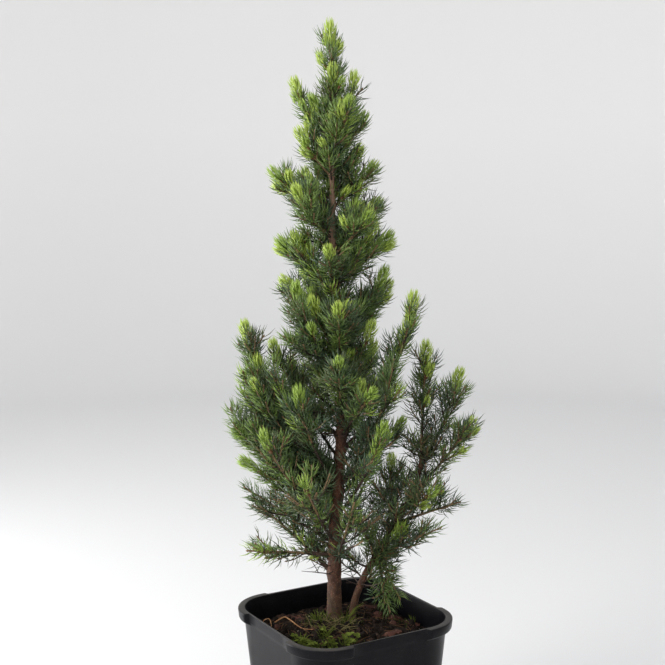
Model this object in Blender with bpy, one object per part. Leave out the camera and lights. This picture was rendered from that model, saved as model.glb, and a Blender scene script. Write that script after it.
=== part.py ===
"""A young dwarf white spruce in a square nursery pot, at its real size.

Metres, +Z up. The origin is the centre of the pot's flat underside, and -Y is the front of the plant.
The crown is a set of foliage masses. Each has one stem, on the trunk, on the second stem or at a
bough's tip, and side shoots that branch from it by a seeded rule. A shoot is a slim three-sided
twig whose faces are drawn out into needle blades, and it keeps to the space nearest its own stem.
"""

from collections import namedtuple
from itertools import product
from math import atan2, ceil, cos, exp, pi, radians, sin, tau
from random import Random

import bmesh
import bpy
import numpy as np
from mathutils import Vector

MM = 0.001
CLEAR = 0.3 * MM  # between solids that touch on the real plant
SEED = 41

# Pot: a 13 cm square nursery container
POT_HEIGHT = 130 * MM
RIM_SIDE = 130 * MM
WALL_TOP_SIDE = 120.5 * MM
BASE_SIDE = 98 * MM
WALL_TOP_CORNER = 27 * MM
BASE_CORNER = 20 * MM
WALL = 1.3 * MM
FLOOR = 1.6 * MM
RIM_BAND = 6.5 * MM
RIM_SLOPE = 2.5 * MM  # the underside of the rim runs back to the wall over this height
RIM_EDGE = 0.8 * MM
BASE_EDGE = 1.5 * MM
STRAIGHT = WALL_TOP_SIDE / 2 - WALL_TOP_CORNER  # half of a side's flat stretch at the top
GRIP_HALF = 29 * MM  # the rim is cut back to a thin edge along the flat stretch of each side
GRIP_RAMP = 2.0 * MM
GRIP_RIM = 0.12  # share of the rim's overhang that is left there
POT_TURN = radians(31)
CORNER_STEPS = 6
DRAIN_RADIUS = 5 * MM
DRAIN_CORNER = 31 * MM
DRAIN_SIDE = 36 * MM
DRAIN_SIDES = 12

# Potting mix
SOIL_EDGE = 112 * MM
GROUND = 117.5 * MM  # the level plateau that the stems stand on
PLATEAU_RADIUS = 24 * MM
SOIL_GAP = 0.5 * MM

# Trunk
FOOT = Vector((-7 * MM, 12 * MM, 0))
TRUNK_TOP = 364 * MM  # above the ground, where the needled leader starts
TRUNK_RADIUS = 5.1 * MM
TRUNK_TIP_RADIUS = 0.9 * MM
TRUNK_TAPER = 0.85  # under 1, so that the trunk stays stout low down
FLARE = 2.4 * MM
FLARE_HEIGHT = 6 * MM
FLARE_LOBES = 5
LOBE_SHARE = 0.3  # of the flare, that swells and sinks round the foot
FLARE_STOPS = (0, 2.5 * MM, 6 * MM, 12 * MM)
BOW = 6.5 * MM
BOW_HEIGHT = 165 * MM
BOW_SPREAD = 75 * MM
TRUNK_SIDES = 10
TRUNK_STEP = 28 * MM

# Second stem, which leans out from beside the trunk's foot and then stands upright
SECOND_FOOT = Vector((6 * MM, 13 * MM, 0))
SECOND_AZIMUTH = radians(2)
SECOND_REACH = 51 * MM
SECOND_UPRIGHT = 125 * MM  # height above the ground where the lean ends
SECOND_TOP = 138 * MM
SECOND_RADIUS = 2.7 * MM
SECOND_TIP_RADIUS = 1.2 * MM
SECOND_SIDES = 8
SECOND_STEP = 12 * MM
CUTTER_SIDES = 24

# Boughs and shoots
BOUGH_SIDES = 8
BOUGH_STEP = 9 * MM
BOUGH_ROOT_RADIUS = 1.7 * MM
BOUGH_TIP_RADIUS = 1.1 * MM
STEM_ROOT_RADIUS = 1.5 * MM
STEM_TIP_RADIUS = 0.8 * MM
SIDE_TAPER = 0.55  # a side shoot's radius at its root, as a share of its stem's there
SIDE_SINK = 0.7  # how far its root is sunk into its stem, in the same share
SIDE_TIP_RADIUS = 0.5 * MM
BAND = 9.5 * MM  # the length of shoot that one whorl of needle blades covers
SIDE_FOOT = 6 * MM  # bare foot of a side shoot
NEEDLE_OUT = 8.0 * MM
NEEDLE_FORWARD = 6.0 * MM
BUD = 7 * MM  # needles that close over the end of a shoot
SIDE_SHARE = 0.5  # longest side shoot, as a share of its stem
SIDE_LONGEST = 38 * MM
SIDE_SHORTENING = 0.5  # from the lowest side shoot to the highest
SIDE_SPREAD = 0.15  # of a side shoot's length, either way
SIDE_ANGLE = radians(48)
SIDE_LIFT = 0.25  # a side shoot turns up by this much of its heading
SHORT_STEM = 52 * MM  # up to this length a stem is twiggier, with two side shoots in each band
SPIRAL_TURN = 137.5 / 120  # of a side shoot from the one below it, in thirds of a turn
SPACE_MARGIN = 2.4 * MM
NEEDLE_GAP = 0.8 * MM  # between the needles of one mass
TWIG_GAP = 2.0 * MM
START_STEP = 0.002  # of a shoot's length, where its foot is sought
LINE_STEP = 5 * MM  # along the trunk and stems, where a gap to them is measured
LENGTH_STOPS = 40  # places along a shoot that its length is measured by
LIMB_MARGIN = 1.0 * MM

# root and tip are heights in mm above the ground, reach is in mm from the axis that carries the
# shoot, turn is in degrees from the plant's right, counter-clockwise seen from above. A curl over 1
# turns the shoot up at its end, under 1 lets it level off. bare is the share without foliage.
Shoot = namedtuple("Shoot", "name carrier root turn reach tip curl bare")
Carrier = namedtuple("Carrier", "axis radius top step")

SHOOTS = [
    Shoot("low_left", "trunk", 50, 190, 66, 57, 0.6, 0.34),
    Shoot("left_second", "trunk", 35, 166, 61, 88, 0.9, 0.32),
    Shoot("left_third", "trunk", 58, 184, 67, 103, 1.0, 0),
    Shoot("left_wide", "trunk", 94, 189, 74, 146, 1.1, 0.24),
    Shoot("left_tall", "trunk", 112, 182, 67, 223, 1.5, 0.30),
    Shoot("left_inner", "trunk", 138, 163, 52, 207, 1.4, 0),
    Shoot("right_tall", "trunk", 128, 336, 56, 245, 1.5, 0.26),
    Shoot("right_front", "trunk", 100, 316, 54, 201, 1.4, 0),
    Shoot("right_back", "trunk", 92, 30, 58, 146, 1.1, 0),
    Shoot("front_left", "trunk", 104, 232, 44, 181, 1.5, 0),
    Shoot("front_star", "trunk", 138, 290, 66, 182, 1.0, 0),
    Shoot("front_low_left", "trunk", 72, 219, 64, 151, 1.3, 0),
    Shoot("front_low", "trunk", 60, 252, 67, 124, 1.2, 0),
    Shoot("front_lowest", "trunk", 44, 284, 58, 105, 1.1, 0),
    Shoot("front_right", "trunk", 80, 304, 60, 158, 1.3, 0),
    Shoot("front_mid", "trunk", 152, 268, 52, 202, 1.1, 0),
    Shoot("back_low", "trunk", 46, 98, 64, 92, 1.0, 0),
    Shoot("back_low_left", "trunk", 70, 138, 70, 132, 1.2, 0),
    Shoot("back_low_right", "trunk", 62, 58, 64, 116, 1.1, 0),
    Shoot("back_mid_left", "trunk", 122, 128, 60, 190, 1.4, 0),
    Shoot("back_mid_right", "trunk", 130, 66, 58, 197, 1.4, 0),
    Shoot("second_top", "second", 138, 5, 3, 207, 1.0, 0),
    Shoot("far_right", "second", 116, 8, 29, 187, 1.3, 0),
    Shoot("right_long", "second", 92, 350, 46, 152, 1.1, 0.30),
    Shoot("right_low", "second", 72, 344, 50, 93, 0.8, 0.26),
    Shoot("right_lowest", "second", 48, 338, 52, 76, 0.9, 0),
    Shoot("right_low_front", "second", 84, 298, 44, 108, 1.1, 0),
    Shoot("second_back", "second", 64, 84, 40, 116, 1.2, 0),
    Shoot("droop", "second", 52, 300, 17, 10, 0.6, 0),
    Shoot("left_upright", "trunk", 184, 214, 38, 252, 1.6, 0),
    Shoot("front_upper", "trunk", 192, 268, 43, 238, 1.1, 0),
    Shoot("left_upper", "trunk", 212, 168, 42, 253, 1.1, 0),
    Shoot("back_upper", "trunk", 180, 95, 47, 240, 1.3, 0),
    Shoot("right_upper", "trunk", 205, 14, 38, 250, 1.2, 0),
    Shoot("front_high", "trunk", 248, 262, 34, 276, 1.0, 0),
    Shoot("left_high", "trunk", 244, 182, 41, 281, 1.1, 0),
    Shoot("right_high", "trunk", 246, 346, 41, 285, 1.1, 0),
    Shoot("right_front_high", "trunk", 268, 312, 40, 299, 1.1, 0),
    Shoot("back_high", "trunk", 250, 84, 41, 288, 1.1, 0),
    Shoot("right_back_high", "trunk", 276, 26, 38, 308, 1.1, 0),
    Shoot("left_front_high", "trunk", 280, 228, 38, 318, 1.3, 0),
    Shoot("left_crown", "trunk", 292, 174, 44, 330, 1.2, 0),
    Shoot("right_crown", "trunk", 302, 8, 31, 334, 1.2, 0),
    Shoot("back_crown", "trunk", 306, 96, 33, 342, 1.2, 0),
    Shoot("left_top", "trunk", 324, 204, 26, 357, 1.2, 0),
    Shoot("right_top", "trunk", 334, 20, 25, 369, 1.3, 0),
    Shoot("front_top", "trunk", 340, 300, 27, 378, 1.3, 0),
    Shoot("left_spire", "trunk", 350, 186, 26, 392, 1.5, 0),
    Shoot("leader", "trunk", 364, 180, 1, 431, 1.0, 0),
]


def smooth_step(x):
    x = min(max(x, 0), 1)
    return x * x * (3 - 2 * x)


def outward(turn):
    return Vector((cos(turn), sin(turn), 0))


def trunk_axis(height):
    """The trunk's centre at a height above the ground. It bows a little to the right at mid height."""
    bow = BOW * exp(-(((height - BOW_HEIGHT) / BOW_SPREAD) ** 2))
    return FOOT + Vector((bow, 0, GROUND + height))


def trunk_radius(height):
    share = min(max(height / TRUNK_TOP, 0), 1)
    taper = TRUNK_TIP_RADIUS + (TRUNK_RADIUS - TRUNK_TIP_RADIUS) * (1 - share) ** TRUNK_TAPER
    return taper + FLARE * exp(-height / FLARE_HEIGHT)


def second_axis(height):
    """The second stem's centre: it leans away from the trunk and then stands upright."""
    lean = SECOND_REACH * smooth_step(height / SECOND_UPRIGHT)
    return SECOND_FOOT + outward(SECOND_AZIMUTH) * lean + Vector((0, 0, GROUND + height))


def second_radius(height):
    share = min(max(height / SECOND_TOP, 0), 1)
    return SECOND_RADIUS + (SECOND_TIP_RADIUS - SECOND_RADIUS) * share


CARRIERS = {
    "trunk": Carrier(trunk_axis, trunk_radius, TRUNK_TOP, TRUNK_STEP),
    "second": Carrier(second_axis, second_radius, SECOND_TOP, SECOND_STEP),
}


def carrier_line(carrier, step=LINE_STEP):
    """Points up a carrier's axis, and its radius at each."""
    count = round(carrier.top / step)
    heights = [carrier.top * i / count for i in range(count + 1)]
    return [carrier.axis(height) for height in heights], [carrier.radius(height) for height in heights]


def shoot_point(shoot, share):
    """The shoot's centre line: out from its carrier and up, from 0 on the carrier's axis to 1."""
    axis = CARRIERS[shoot.carrier].axis
    out = shoot.reach * MM * (1 - (1 - share) ** max(shoot.curl, 1))
    rise = (shoot.tip - shoot.root) * MM * share ** (0.5 + 0.5 * shoot.curl)
    return axis(shoot.root * MM) + outward(radians(shoot.turn)) * out + Vector((0, 0, rise))


def shoot_side(shoot):
    """The level direction square to the way a shoot is turned."""
    return Vector((0, 0, 1)).cross(outward(radians(shoot.turn)))


def length_of(path):
    return sum((b - a).length for a, b in zip(path, path[1:]))


def shoot_path(shoot, first, last, step):
    """Points along part of a shoot, about a step apart."""
    ends = [shoot_point(shoot, first + (last - first) * i / LENGTH_STOPS) for i in range(LENGTH_STOPS + 1)]
    count = max(2, ceil(length_of(ends) / step))
    return [shoot_point(shoot, first + (last - first) * i / count) for i in range(count + 1)]


def tangents(path):
    ends = [path[0]] + path + [path[-1]]
    return [(b - a).normalized() for a, b in zip(ends, ends[2:])]


def material(name, colour, roughness):
    made = bpy.data.materials.new(name)
    made.use_nodes = True
    shader = made.node_tree.nodes["Principled BSDF"]
    shader.inputs["Base Color"].default_value = (*colour, 1)
    shader.inputs["Roughness"].default_value = roughness
    shader.inputs["Metallic"].default_value = 0
    return made


def add_object(name, points, faces, finish, collection=None):
    """An object from points and faces, with its faces turned outwards."""
    mesh = bpy.data.meshes.new(name)
    mesh.from_pydata([tuple(p) for p in points], [], faces)
    work = bmesh.new()
    work.from_mesh(mesh)
    bmesh.ops.recalc_face_normals(work, faces=work.faces)
    work.to_mesh(mesh)
    work.free()
    mesh.materials.append(finish)
    made = bpy.data.objects.new(name, mesh)
    (collection or bpy.context.scene.collection).objects.link(made)
    return made


def bridge(first, second, count):
    """Quads between two rings of points, given the index of each ring's first point."""
    return [
        (first + i, first + (i + 1) % count, second + (i + 1) % count, second + i)
        for i in range(count)
    ]


def add_loft(name, rings, finish):
    """A solid through rings of points of equal count, closed by flat ends."""
    count = len(rings[0])
    points = [p for ring in rings for p in ring]
    faces = []
    for i in range(len(rings) - 1):
        faces += bridge(i * count, (i + 1) * count, count)
    last = (len(rings) - 1) * count
    faces.append(tuple(range(count)))
    faces.append(tuple(last + i for i in range(count)))
    return add_object(name, points, faces, finish)


def use_boolean(target, operation, solver="EXACT", cutter=None, collection=None):
    change = target.modifiers.new(operation.lower(), "BOOLEAN")
    change.operation = operation
    change.solver = solver
    if collection:
        change.operand_type = "COLLECTION"
        change.collection = collection
    else:
        change.object = cutter
    return change


def apply_modifiers(target):
    graph = bpy.context.evaluated_depsgraph_get()
    mesh = bpy.data.meshes.new_from_object(target.evaluated_get(graph))
    old = target.data
    target.modifiers.clear()
    target.data = mesh
    mesh.name = old.name


def shade(target):
    target.data.shade_smooth()
    target.data.set_sharp_from_angle(angle=radians(35))


def rounded_square(side, corner, overhang, turn, height):
    """One ring of the pot, a square with round corners. The overhang beyond it shrinks in the grips."""
    half = side / 2
    straight = half - corner
    ring = []
    for quarter in range(4):
        spin = quarter * pi / 2
        side_points = [
            (half + overhang * (1 if abs(y) > GRIP_HALF else GRIP_RIM), y * straight / STRAIGHT)
            for y in grip_stops()
        ]
        arc = [
            (straight + (corner + overhang) * cos(a), straight + (corner + overhang) * sin(a))
            for a in (i * pi / 2 / CORNER_STEPS for i in range(CORNER_STEPS + 1))
        ]
        for x, y in side_points + arc:
            ring.append(Vector((x * cos(spin) - y * sin(spin), x * sin(spin) + y * cos(spin), height)))
    return [
        Vector((p.x * cos(turn) - p.y * sin(turn), p.x * sin(turn) + p.y * cos(turn), p.z))
        for p in ring
    ]


def grip_stops():
    """Places along a side where the rim steps in and out again."""
    full = GRIP_HALF + GRIP_RAMP
    return (-full, -GRIP_HALF, GRIP_HALF, full)


def wall_side(height):
    share = height / (POT_HEIGHT - RIM_BAND - RIM_SLOPE)
    return (
        BASE_SIDE + (WALL_TOP_SIDE - BASE_SIDE) * share,
        BASE_CORNER + (WALL_TOP_CORNER - BASE_CORNER) * share,
    )


def pot_ring(height, inset=0.0, overhang=0.0):
    side, corner = wall_side(height)
    return rounded_square(side - 2 * inset, corner - inset, overhang, POT_TURN, height)


def add_pot(finish):
    """The pot's shell: outer wall, rim, inner wall and floor in one loft, with drain holes cut."""
    top = POT_HEIGHT
    reach = (RIM_SIDE - wall_side(top)[0]) / 2
    rings = [
        pot_ring(0, inset=BASE_EDGE),
        pot_ring(BASE_EDGE),
        pot_ring(top - RIM_BAND - RIM_SLOPE),
        pot_ring(top - RIM_BAND, overhang=reach),
        pot_ring(top - RIM_EDGE, overhang=reach),
        pot_ring(top, overhang=reach - RIM_EDGE),
        pot_ring(top, inset=WALL),
        pot_ring(FLOOR, inset=WALL),
    ]
    pot = add_loft("pot", rings, finish)
    for i in range(4):
        corner_turn = POT_TURN + pi / 4 + i * pi / 2
        side_turn = POT_TURN + i * pi / 2
        cut_drain(pot, outward(corner_turn) * DRAIN_CORNER * 2**0.5, f"corner_drain_{i + 1}")
        cut_drain(pot, outward(side_turn) * DRAIN_SIDE, f"side_drain_{i + 1}")
    shade(pot)
    return pot


def cut_drain(pot, centre, name):
    """A round drain hole through the floor."""
    ends = []
    for height in (-FLOOR, 2 * FLOOR):
        ends.append([
            centre + outward(i * tau / DRAIN_SIDES) * DRAIN_RADIUS + Vector((0, 0, height))
            for i in range(DRAIN_SIDES)
        ])
    cutter = add_loft(name, ends, pot.data.materials[0])
    cutter.hide_render = True
    cutter.display_type = "WIRE"
    use_boolean(pot, "DIFFERENCE", cutter=cutter)


def add_soil(finish):
    """The potting mix: it fills the pot and rises to a level plateau round the stems."""
    gap = WALL + SOIL_GAP
    rings = [pot_ring(FLOOR + CLEAR, inset=gap), pot_ring(SOIL_EDGE, inset=gap)]
    middle = Vector(((FOOT.x + SECOND_FOOT.x) / 2, FOOT.y, 0))
    plateau = []
    for point in rings[1]:
        turn = atan2(point.y - middle.y, point.x - middle.x)
        plateau.append(middle + outward(turn) * PLATEAU_RADIUS + Vector((0, 0, GROUND - CLEAR)))
    return add_loft("potting_mix", rings + [plateau], finish)


def ring_round(centre, tangent, side, radius, sides, turn=0.0):
    """Points on a circle square to the tangent, the first of them towards side."""
    across = (side - tangent * side.dot(tangent)).normalized()
    other = tangent.cross(across)
    return [
        centre + (across * cos(turn + i * tau / sides) + other * sin(turn + i * tau / sides)) * radius
        for i in range(sides)
    ]


def add_trunk(finish):
    """The trunk, whole from a flat cut at the ground to its tip in the leader."""
    count = round(TRUNK_TOP / TRUNK_STEP)
    heights = list(FLARE_STOPS) + [TRUNK_TOP * i / count for i in range(1, count + 1)]
    rings = []
    for height in heights:
        lobe = FLARE * LOBE_SHARE * exp(-height / FLARE_HEIGHT)
        centre = trunk_axis(height)
        ring = []
        for i in range(TRUNK_SIDES):
            turn = i * tau / TRUNK_SIDES
            radius = trunk_radius(height) + lobe * cos(FLARE_LOBES * turn)
            ring.append(centre + outward(turn) * radius)
        rings.append(ring)
    trunk = add_loft("trunk", rings, finish)
    shade(trunk)
    return trunk


def add_limb(name, path, root_radius, tip_radius, sides, side, finish):
    """One tapering limb along a path."""
    total = length_of(path)
    done = 0.0
    rings = []
    for i, (point, tangent) in enumerate(zip(path, tangents(path))):
        done += (point - path[i - 1]).length if i else 0.0
        radius = root_radius + (tip_radius - root_radius) * done / total
        rings.append(ring_round(point, tangent, side, radius, sides))
    limb = add_loft(name, rings, finish)
    shade(limb)
    return limb


def add_second_stem(finish):
    count = round(SECOND_TOP / SECOND_STEP)
    path = [second_axis(SECOND_TOP * i / count) for i in range(count + 1)]
    side = Vector((0, 1, 0))
    stem = add_limb("second_stem", path, SECOND_RADIUS, SECOND_TIP_RADIUS, SECOND_SIDES, side, finish)
    # the foot is cut level with the ground
    for vertex in stem.data.vertices[:SECOND_SIDES]:
        vertex.co.z = GROUND
    return stem


def add_bough(shoot, finish, cutter):
    """The bare limb that carries a mass, cut to sit on the stem that it grows from."""
    path = shoot_path(shoot, 0, shoot.bare, BOUGH_STEP)
    name = shoot.name + "_bough"
    side = shoot_side(shoot)
    bough = add_limb(name, path, BOUGH_ROOT_RADIUS, BOUGH_TIP_RADIUS, BOUGH_SIDES, side, finish)
    use_boolean(bough, "DIFFERENCE", cutter=cutter)
    return bough


def add_clearance(name, carrier, sides, finish):
    """A hidden cutter that stands just clear of a stem, for the boughs that sit on it."""
    path, radii = carrier_line(carrier, carrier.step)
    round_out = 1 / cos(pi / sides)
    side = Vector((0, 1, 0))
    rings = [
        ring_round(point, tangent, side, (radius + CLEAR) * round_out, sides)
        for point, tangent, radius in zip(path, tangents(path), radii)
    ]
    cutter = add_loft(name + "_clearance", rings, finish)
    cutter.hide_render = True
    cutter.display_type = "WIRE"
    return cutter


class Space:
    """Tells each mass which space is its own, and how near the trunk and boughs a point is."""

    def __init__(self, stems, limbs):
        self.stem_from, self.stem_to, self.owner = self.segments(stems)
        self.limb_from, self.limb_to, _ = self.segments([path for path, _ in limbs])
        self.limb_radius = np.concatenate([radii[:-1] for _, radii in limbs])

    @staticmethod
    def segments(paths):
        starts = np.array([tuple(p) for path in paths for p in path[:-1]])
        ends = np.array([tuple(p) for path in paths for p in path[1:]])
        owner = np.array([i for i, path in enumerate(paths) for _ in path[:-1]])
        return starts, ends, owner

    @staticmethod
    def distances(point, starts, ends):
        along = ends - starts
        offset = np.array(tuple(point)) - starts
        share = np.clip((offset * along).sum(1) / (along * along).sum(1), 0, 1)
        return np.linalg.norm(offset - along * share[:, None], axis=1)

    def own(self, point, index):
        """How much nearer its own stem a point is than any other's."""
        away = self.distances(point, self.stem_from, self.stem_to)
        mine = self.owner == index
        return away[~mine].min() - away[mine].min()

    def limb_gap(self, point):
        return (self.distances(point, self.limb_from, self.limb_to) - self.limb_radius).min()

    def free(self, point, index):
        """True where mass index may hold a twig or a needle."""
        return (
            point.z > GROUND + LIMB_MARGIN
            and self.own(point, index) > SPACE_MARGIN
            and self.limb_gap(point) > LIMB_MARGIN
        )


class Held:
    """The twigs and needles that a mass holds already, so that the next ones keep off them."""

    def __init__(self):
        self.starts, self.ends, self.radii = [], [], []

    def add(self, start, end, radius):
        self.starts.append(tuple(start))
        self.ends.append(tuple(end))
        self.radii.append(radius)

    def clear_of(self, points, gap):
        if not self.starts:
            return True
        starts, ends, radii = np.array(self.starts), np.array(self.ends), np.array(self.radii)
        return all((Space.distances(point, starts, ends) - radii).min() > gap for point in points)


def spray_mesh(path, side, root_radius, tip_radius, free, held, bare=()):
    """A three-sided twig whose faces are drawn out into needle blades, where free(point) allows them.

    Each ring is turned half a side from the last, so the blades of one band stand between those of
    the next. bare holds the (band, face) pairs that stay flat, for a side shoot or a foot. The twig
    and its blades are added to what the mass holds.
    """
    last = len(path) - 1
    points, faces = [], [(0, 1, 2)]
    for i, (centre, tangent) in enumerate(zip(path, tangents(path))):
        radius = root_radius + (tip_radius - root_radius) * i / last
        points += ring_round(centre, tangent, side, radius, 3, turn=i * pi / 3)
    blades = []
    for i in range(last):
        for k in range(3):
            a, b, c, d = band_face(i, k)
            middle, out, forward = face_frame(path, points, i, k)
            tip = middle + out * NEEDLE_OUT + forward * NEEDLE_FORWARD
            low, high = (points[a] + points[b]) / 2, (points[c] + points[d]) / 2
            probes = [tip, (tip + middle) / 2, (tip + low) / 2, (tip + high) / 2]
            if (i, k) in bare or not all(map(free, probes)) or not held.clear_of(probes, NEEDLE_GAP):
                faces += [(a, b, d), (b, c, d)]
            else:
                points.append(tip)
                apex = len(points) - 1
                faces += [(a, b, apex), (b, c, apex), (c, d, apex), (d, a, apex)]
                blades += [(low, tip), (high, tip)]
    ahead = (path[-1] - path[-2]).normalized()
    bud = path[-1] + ahead * BUD
    points.append(bud if free(bud) and held.clear_of([bud], NEEDLE_GAP) else path[-1] + ahead * tip_radius)
    apex = len(points) - 1
    faces += [(3 * last + k, 3 * last + (k + 1) % 3, apex) for k in range(3)]
    for low, high in zip(path, path[1:] + [points[apex]]):
        held.add(low, high, root_radius)
    for low, tip in blades:
        held.add(low, tip, 0)
    return points, faces


def band_face(i, k):
    """The corners of face k in band i of a three-sided twig."""
    return 3 * i + k, 3 * i + (k + 1) % 3, 3 * i + 3 + (k + 1) % 3, 3 * i + 3 + k


def face_frame(path, points, i, k):
    """The middle of a twig's face, the way straight out of it and the way along the twig."""
    forward = (path[i + 1] - path[i]).normalized()
    middle = sum((points[j] for j in band_face(i, k)), Vector()) / 4
    out = middle - (path[i] + path[i + 1]) / 2
    return middle, (out - forward * out.dot(forward)).normalized(), forward


def clear_start(shoot):
    """The share along a shoot on a carrier where its twig stands just clear of that carrier."""
    path, radii = carrier_line(CARRIERS[shoot.carrier])
    starts, ends, _ = Space.segments([path])
    share = 0.0
    gap = 0.0
    while gap < CLEAR:
        share += START_STEP
        point = shoot_point(shoot, share)
        tangent = (shoot_point(shoot, share + START_STEP) - point).normalized()
        foot = [point] + ring_round(point, tangent, outward(0), STEM_ROOT_RADIUS, 12)
        gap = min((Space.distances(place, starts, ends) - radii[:-1]).min() for place in foot)
    return share


def mass_stem(shoot):
    """The twig at the middle of a mass, from its foot up to the bud whose needles reach the shoot's tip."""
    length = length_of(shoot_path(shoot, 0, 1, BAND))
    if shoot.bare:
        first = shoot.bare + CLEAR / length
    elif shoot.root * MM >= CARRIERS[shoot.carrier].top:
        first = CLEAR / length
    else:
        first = clear_start(shoot)
    return shoot_path(shoot, first, 1 - BUD / length, BAND)


def side_shoots(shoot, stem, index, space):
    """Where a mass's side shoots stand: they climb its stem in a spiral, shorter towards the tip.

    Gives the band and face of the stem that each is rooted in, the middle of that face, and the
    shoot's heading and number of whorls.
    """
    random = Random(f"{shoot.name} {SEED}")
    bands = len(stem) - 1
    longest = min(SIDE_LONGEST, SIDE_SHARE * length_of(stem))
    start = random.randrange(3)
    across = shoot_side(shoot)
    core, _ = spray_mesh(stem, across, STEM_ROOT_RADIUS, STEM_TIP_RADIUS, lambda point: False, Held())
    found = []
    per_band = 2 if length_of(stem) < SHORT_STEM else 1
    for i, more in product(range(1, bands), range(per_band)):
        k = (start + round(SPIRAL_TURN * i) - i // 2 + more) % 3
        middle, out, forward = face_frame(stem, core, i, k)
        heading = forward * cos(SIDE_ANGLE) + out * sin(SIDE_ANGLE)
        heading = (heading + Vector((0, 0, SIDE_LIFT))).normalized()
        length = longest * (1 - SIDE_SHORTENING * i / bands)
        length *= random.uniform(1 - SIDE_SPREAD, 1 + SIDE_SPREAD)
        ahead = BAND * (bands - i)  # a side shoot doesn't pass its stem's tip
        whorls = min(max(1, round((length - SIDE_FOOT) / BAND)), int((ahead - SIDE_FOOT) / BAND))
        while whorls and not all(
            space.free(middle + heading * (SIDE_FOOT + BAND * step), index) for step in range(whorls + 1)
        ):
            whorls -= 1
        if whorls:
            found.append((i, k, middle, heading, whorls))
    return found


def add_mass(shoot, index, stem, space, finish):
    """One mass of foliage: its stem and side shoots, joined into one solid."""
    name = shoot.name + "_foliage"

    def free(point):
        return space.free(point, index)

    held = Held()
    sides = side_shoots(shoot, stem, index, space)
    sockets = {(i, k) for i, k, _, _, _ in sides}
    points, faces = spray_mesh(
        stem, shoot_side(shoot), STEM_ROOT_RADIUS, STEM_TIP_RADIUS, free, held, sockets
    )
    mass = add_object(name, points, faces, finish)
    twigs = bpy.data.collections.new(name)
    for i, k, middle, heading, whorls in sides:
        radius = STEM_ROOT_RADIUS + (STEM_TIP_RADIUS - STEM_ROOT_RADIUS) * i / (len(stem) - 1)
        path = [middle - heading * radius * SIDE_SINK]
        path += [middle + heading * (SIDE_FOOT + BAND * step) for step in range(whorls + 1)]
        foot = {(0, face) for face in range(3)}
        while len(path) > 2 and not held.clear_of(path[2:], TWIG_GAP):
            path.pop()
        points, faces = spray_mesh(
            path, stem[i + 1] - stem[i], radius * SIDE_TAPER, SIDE_TIP_RADIUS, free, held, foot
        )
        add_object(name + "_twig", points, faces, finish, twigs)
    if twigs.objects:
        bpy.context.scene.collection.children.link(twigs)
        use_boolean(mass, "UNION", solver="MANIFOLD", collection=twigs)
        apply_modifiers(mass)
        keep_main_body(mass)
        for twig in list(twigs.objects):
            bpy.data.objects.remove(twig)
    bpy.data.collections.remove(twigs)
    return mass


def keep_main_body(target):
    """Drops the loose scraps that a union can leave, and fills a hollow that it sealed."""
    work = bmesh.new()
    work.from_mesh(target.data)
    bodies = []
    left = set(work.verts)
    while left:
        body = set()
        edge = {left.pop()}
        while edge:
            body |= edge
            edge = {e.other_vert(v) for v in edge for e in v.link_edges} - body
        left -= body
        bodies.append(body)
    bodies.sort(key=len)
    for body in bodies[:-1]:
        bmesh.ops.delete(work, geom=list(body), context="VERTS")
    work.to_mesh(target.data)
    work.free()


def clear_scene():
    for old in list(bpy.data.objects):
        bpy.data.objects.remove(old)


def main():
    clear_scene()
    plastic = material("pot_plastic", (0.035, 0.036, 0.04), 0.45)
    mix = material("potting_mix", (0.045, 0.028, 0.018), 0.95)
    bark = material("bark", (0.20, 0.105, 0.06), 0.85)
    twig_bark = material("twig_bark", (0.14, 0.075, 0.04), 0.85)
    needles = material("needles", (0.045, 0.11, 0.035), 0.6)

    add_pot(plastic)
    add_soil(mix)
    add_trunk(bark)
    add_second_stem(bark)
    cutters = {
        name: add_clearance(name, carrier, CUTTER_SIDES, bark) for name, carrier in CARRIERS.items()
    }

    limbs = [carrier_line(carrier) for carrier in CARRIERS.values()]
    for shoot in SHOOTS:
        if shoot.bare:
            add_bough(shoot, twig_bark, cutters[shoot.carrier])
            path = shoot_path(shoot, 0, shoot.bare, BOUGH_STEP)
            limbs.append((path, [BOUGH_ROOT_RADIUS] * len(path)))

    stems = [mass_stem(shoot) for shoot in SHOOTS]
    space = Space(stems, limbs)
    for index, (shoot, stem) in enumerate(zip(SHOOTS, stems)):
        add_mass(shoot, index, stem, space, needles)


main()
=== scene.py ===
# %% [markdown]
# # A dwarf white spruce in its nursery pot
# The solids of the part give the pot, the soil, two stems, seven boughs and the space of each mass of
# foliage. They come in first, and every piece below is built around them, in metres, with -Y at the
# front and +Z up.

from collections import defaultdict, namedtuple
from itertools import product
from math import atan2, ceil, cos, exp, pi, radians, sin, tau
from random import Random

import bmesh
import bpy
import numpy as np
from mathutils import Matrix, Vector, noise
from mathutils.bvhtree import BVHTree


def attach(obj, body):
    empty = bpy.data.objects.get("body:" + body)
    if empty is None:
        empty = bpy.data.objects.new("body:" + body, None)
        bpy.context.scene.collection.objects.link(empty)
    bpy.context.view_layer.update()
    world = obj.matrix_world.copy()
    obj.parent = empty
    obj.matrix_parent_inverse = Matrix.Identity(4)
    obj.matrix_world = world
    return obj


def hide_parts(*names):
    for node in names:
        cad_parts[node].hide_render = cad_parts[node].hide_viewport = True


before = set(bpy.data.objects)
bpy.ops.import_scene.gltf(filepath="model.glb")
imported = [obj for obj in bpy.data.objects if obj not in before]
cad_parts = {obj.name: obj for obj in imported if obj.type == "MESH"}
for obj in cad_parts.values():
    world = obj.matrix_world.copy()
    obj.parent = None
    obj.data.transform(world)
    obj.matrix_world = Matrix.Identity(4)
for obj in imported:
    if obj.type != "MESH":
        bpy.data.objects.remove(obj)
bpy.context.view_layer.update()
MM = 0.001
UP = Vector((0, 0, 1))
BODY = "root"

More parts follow.
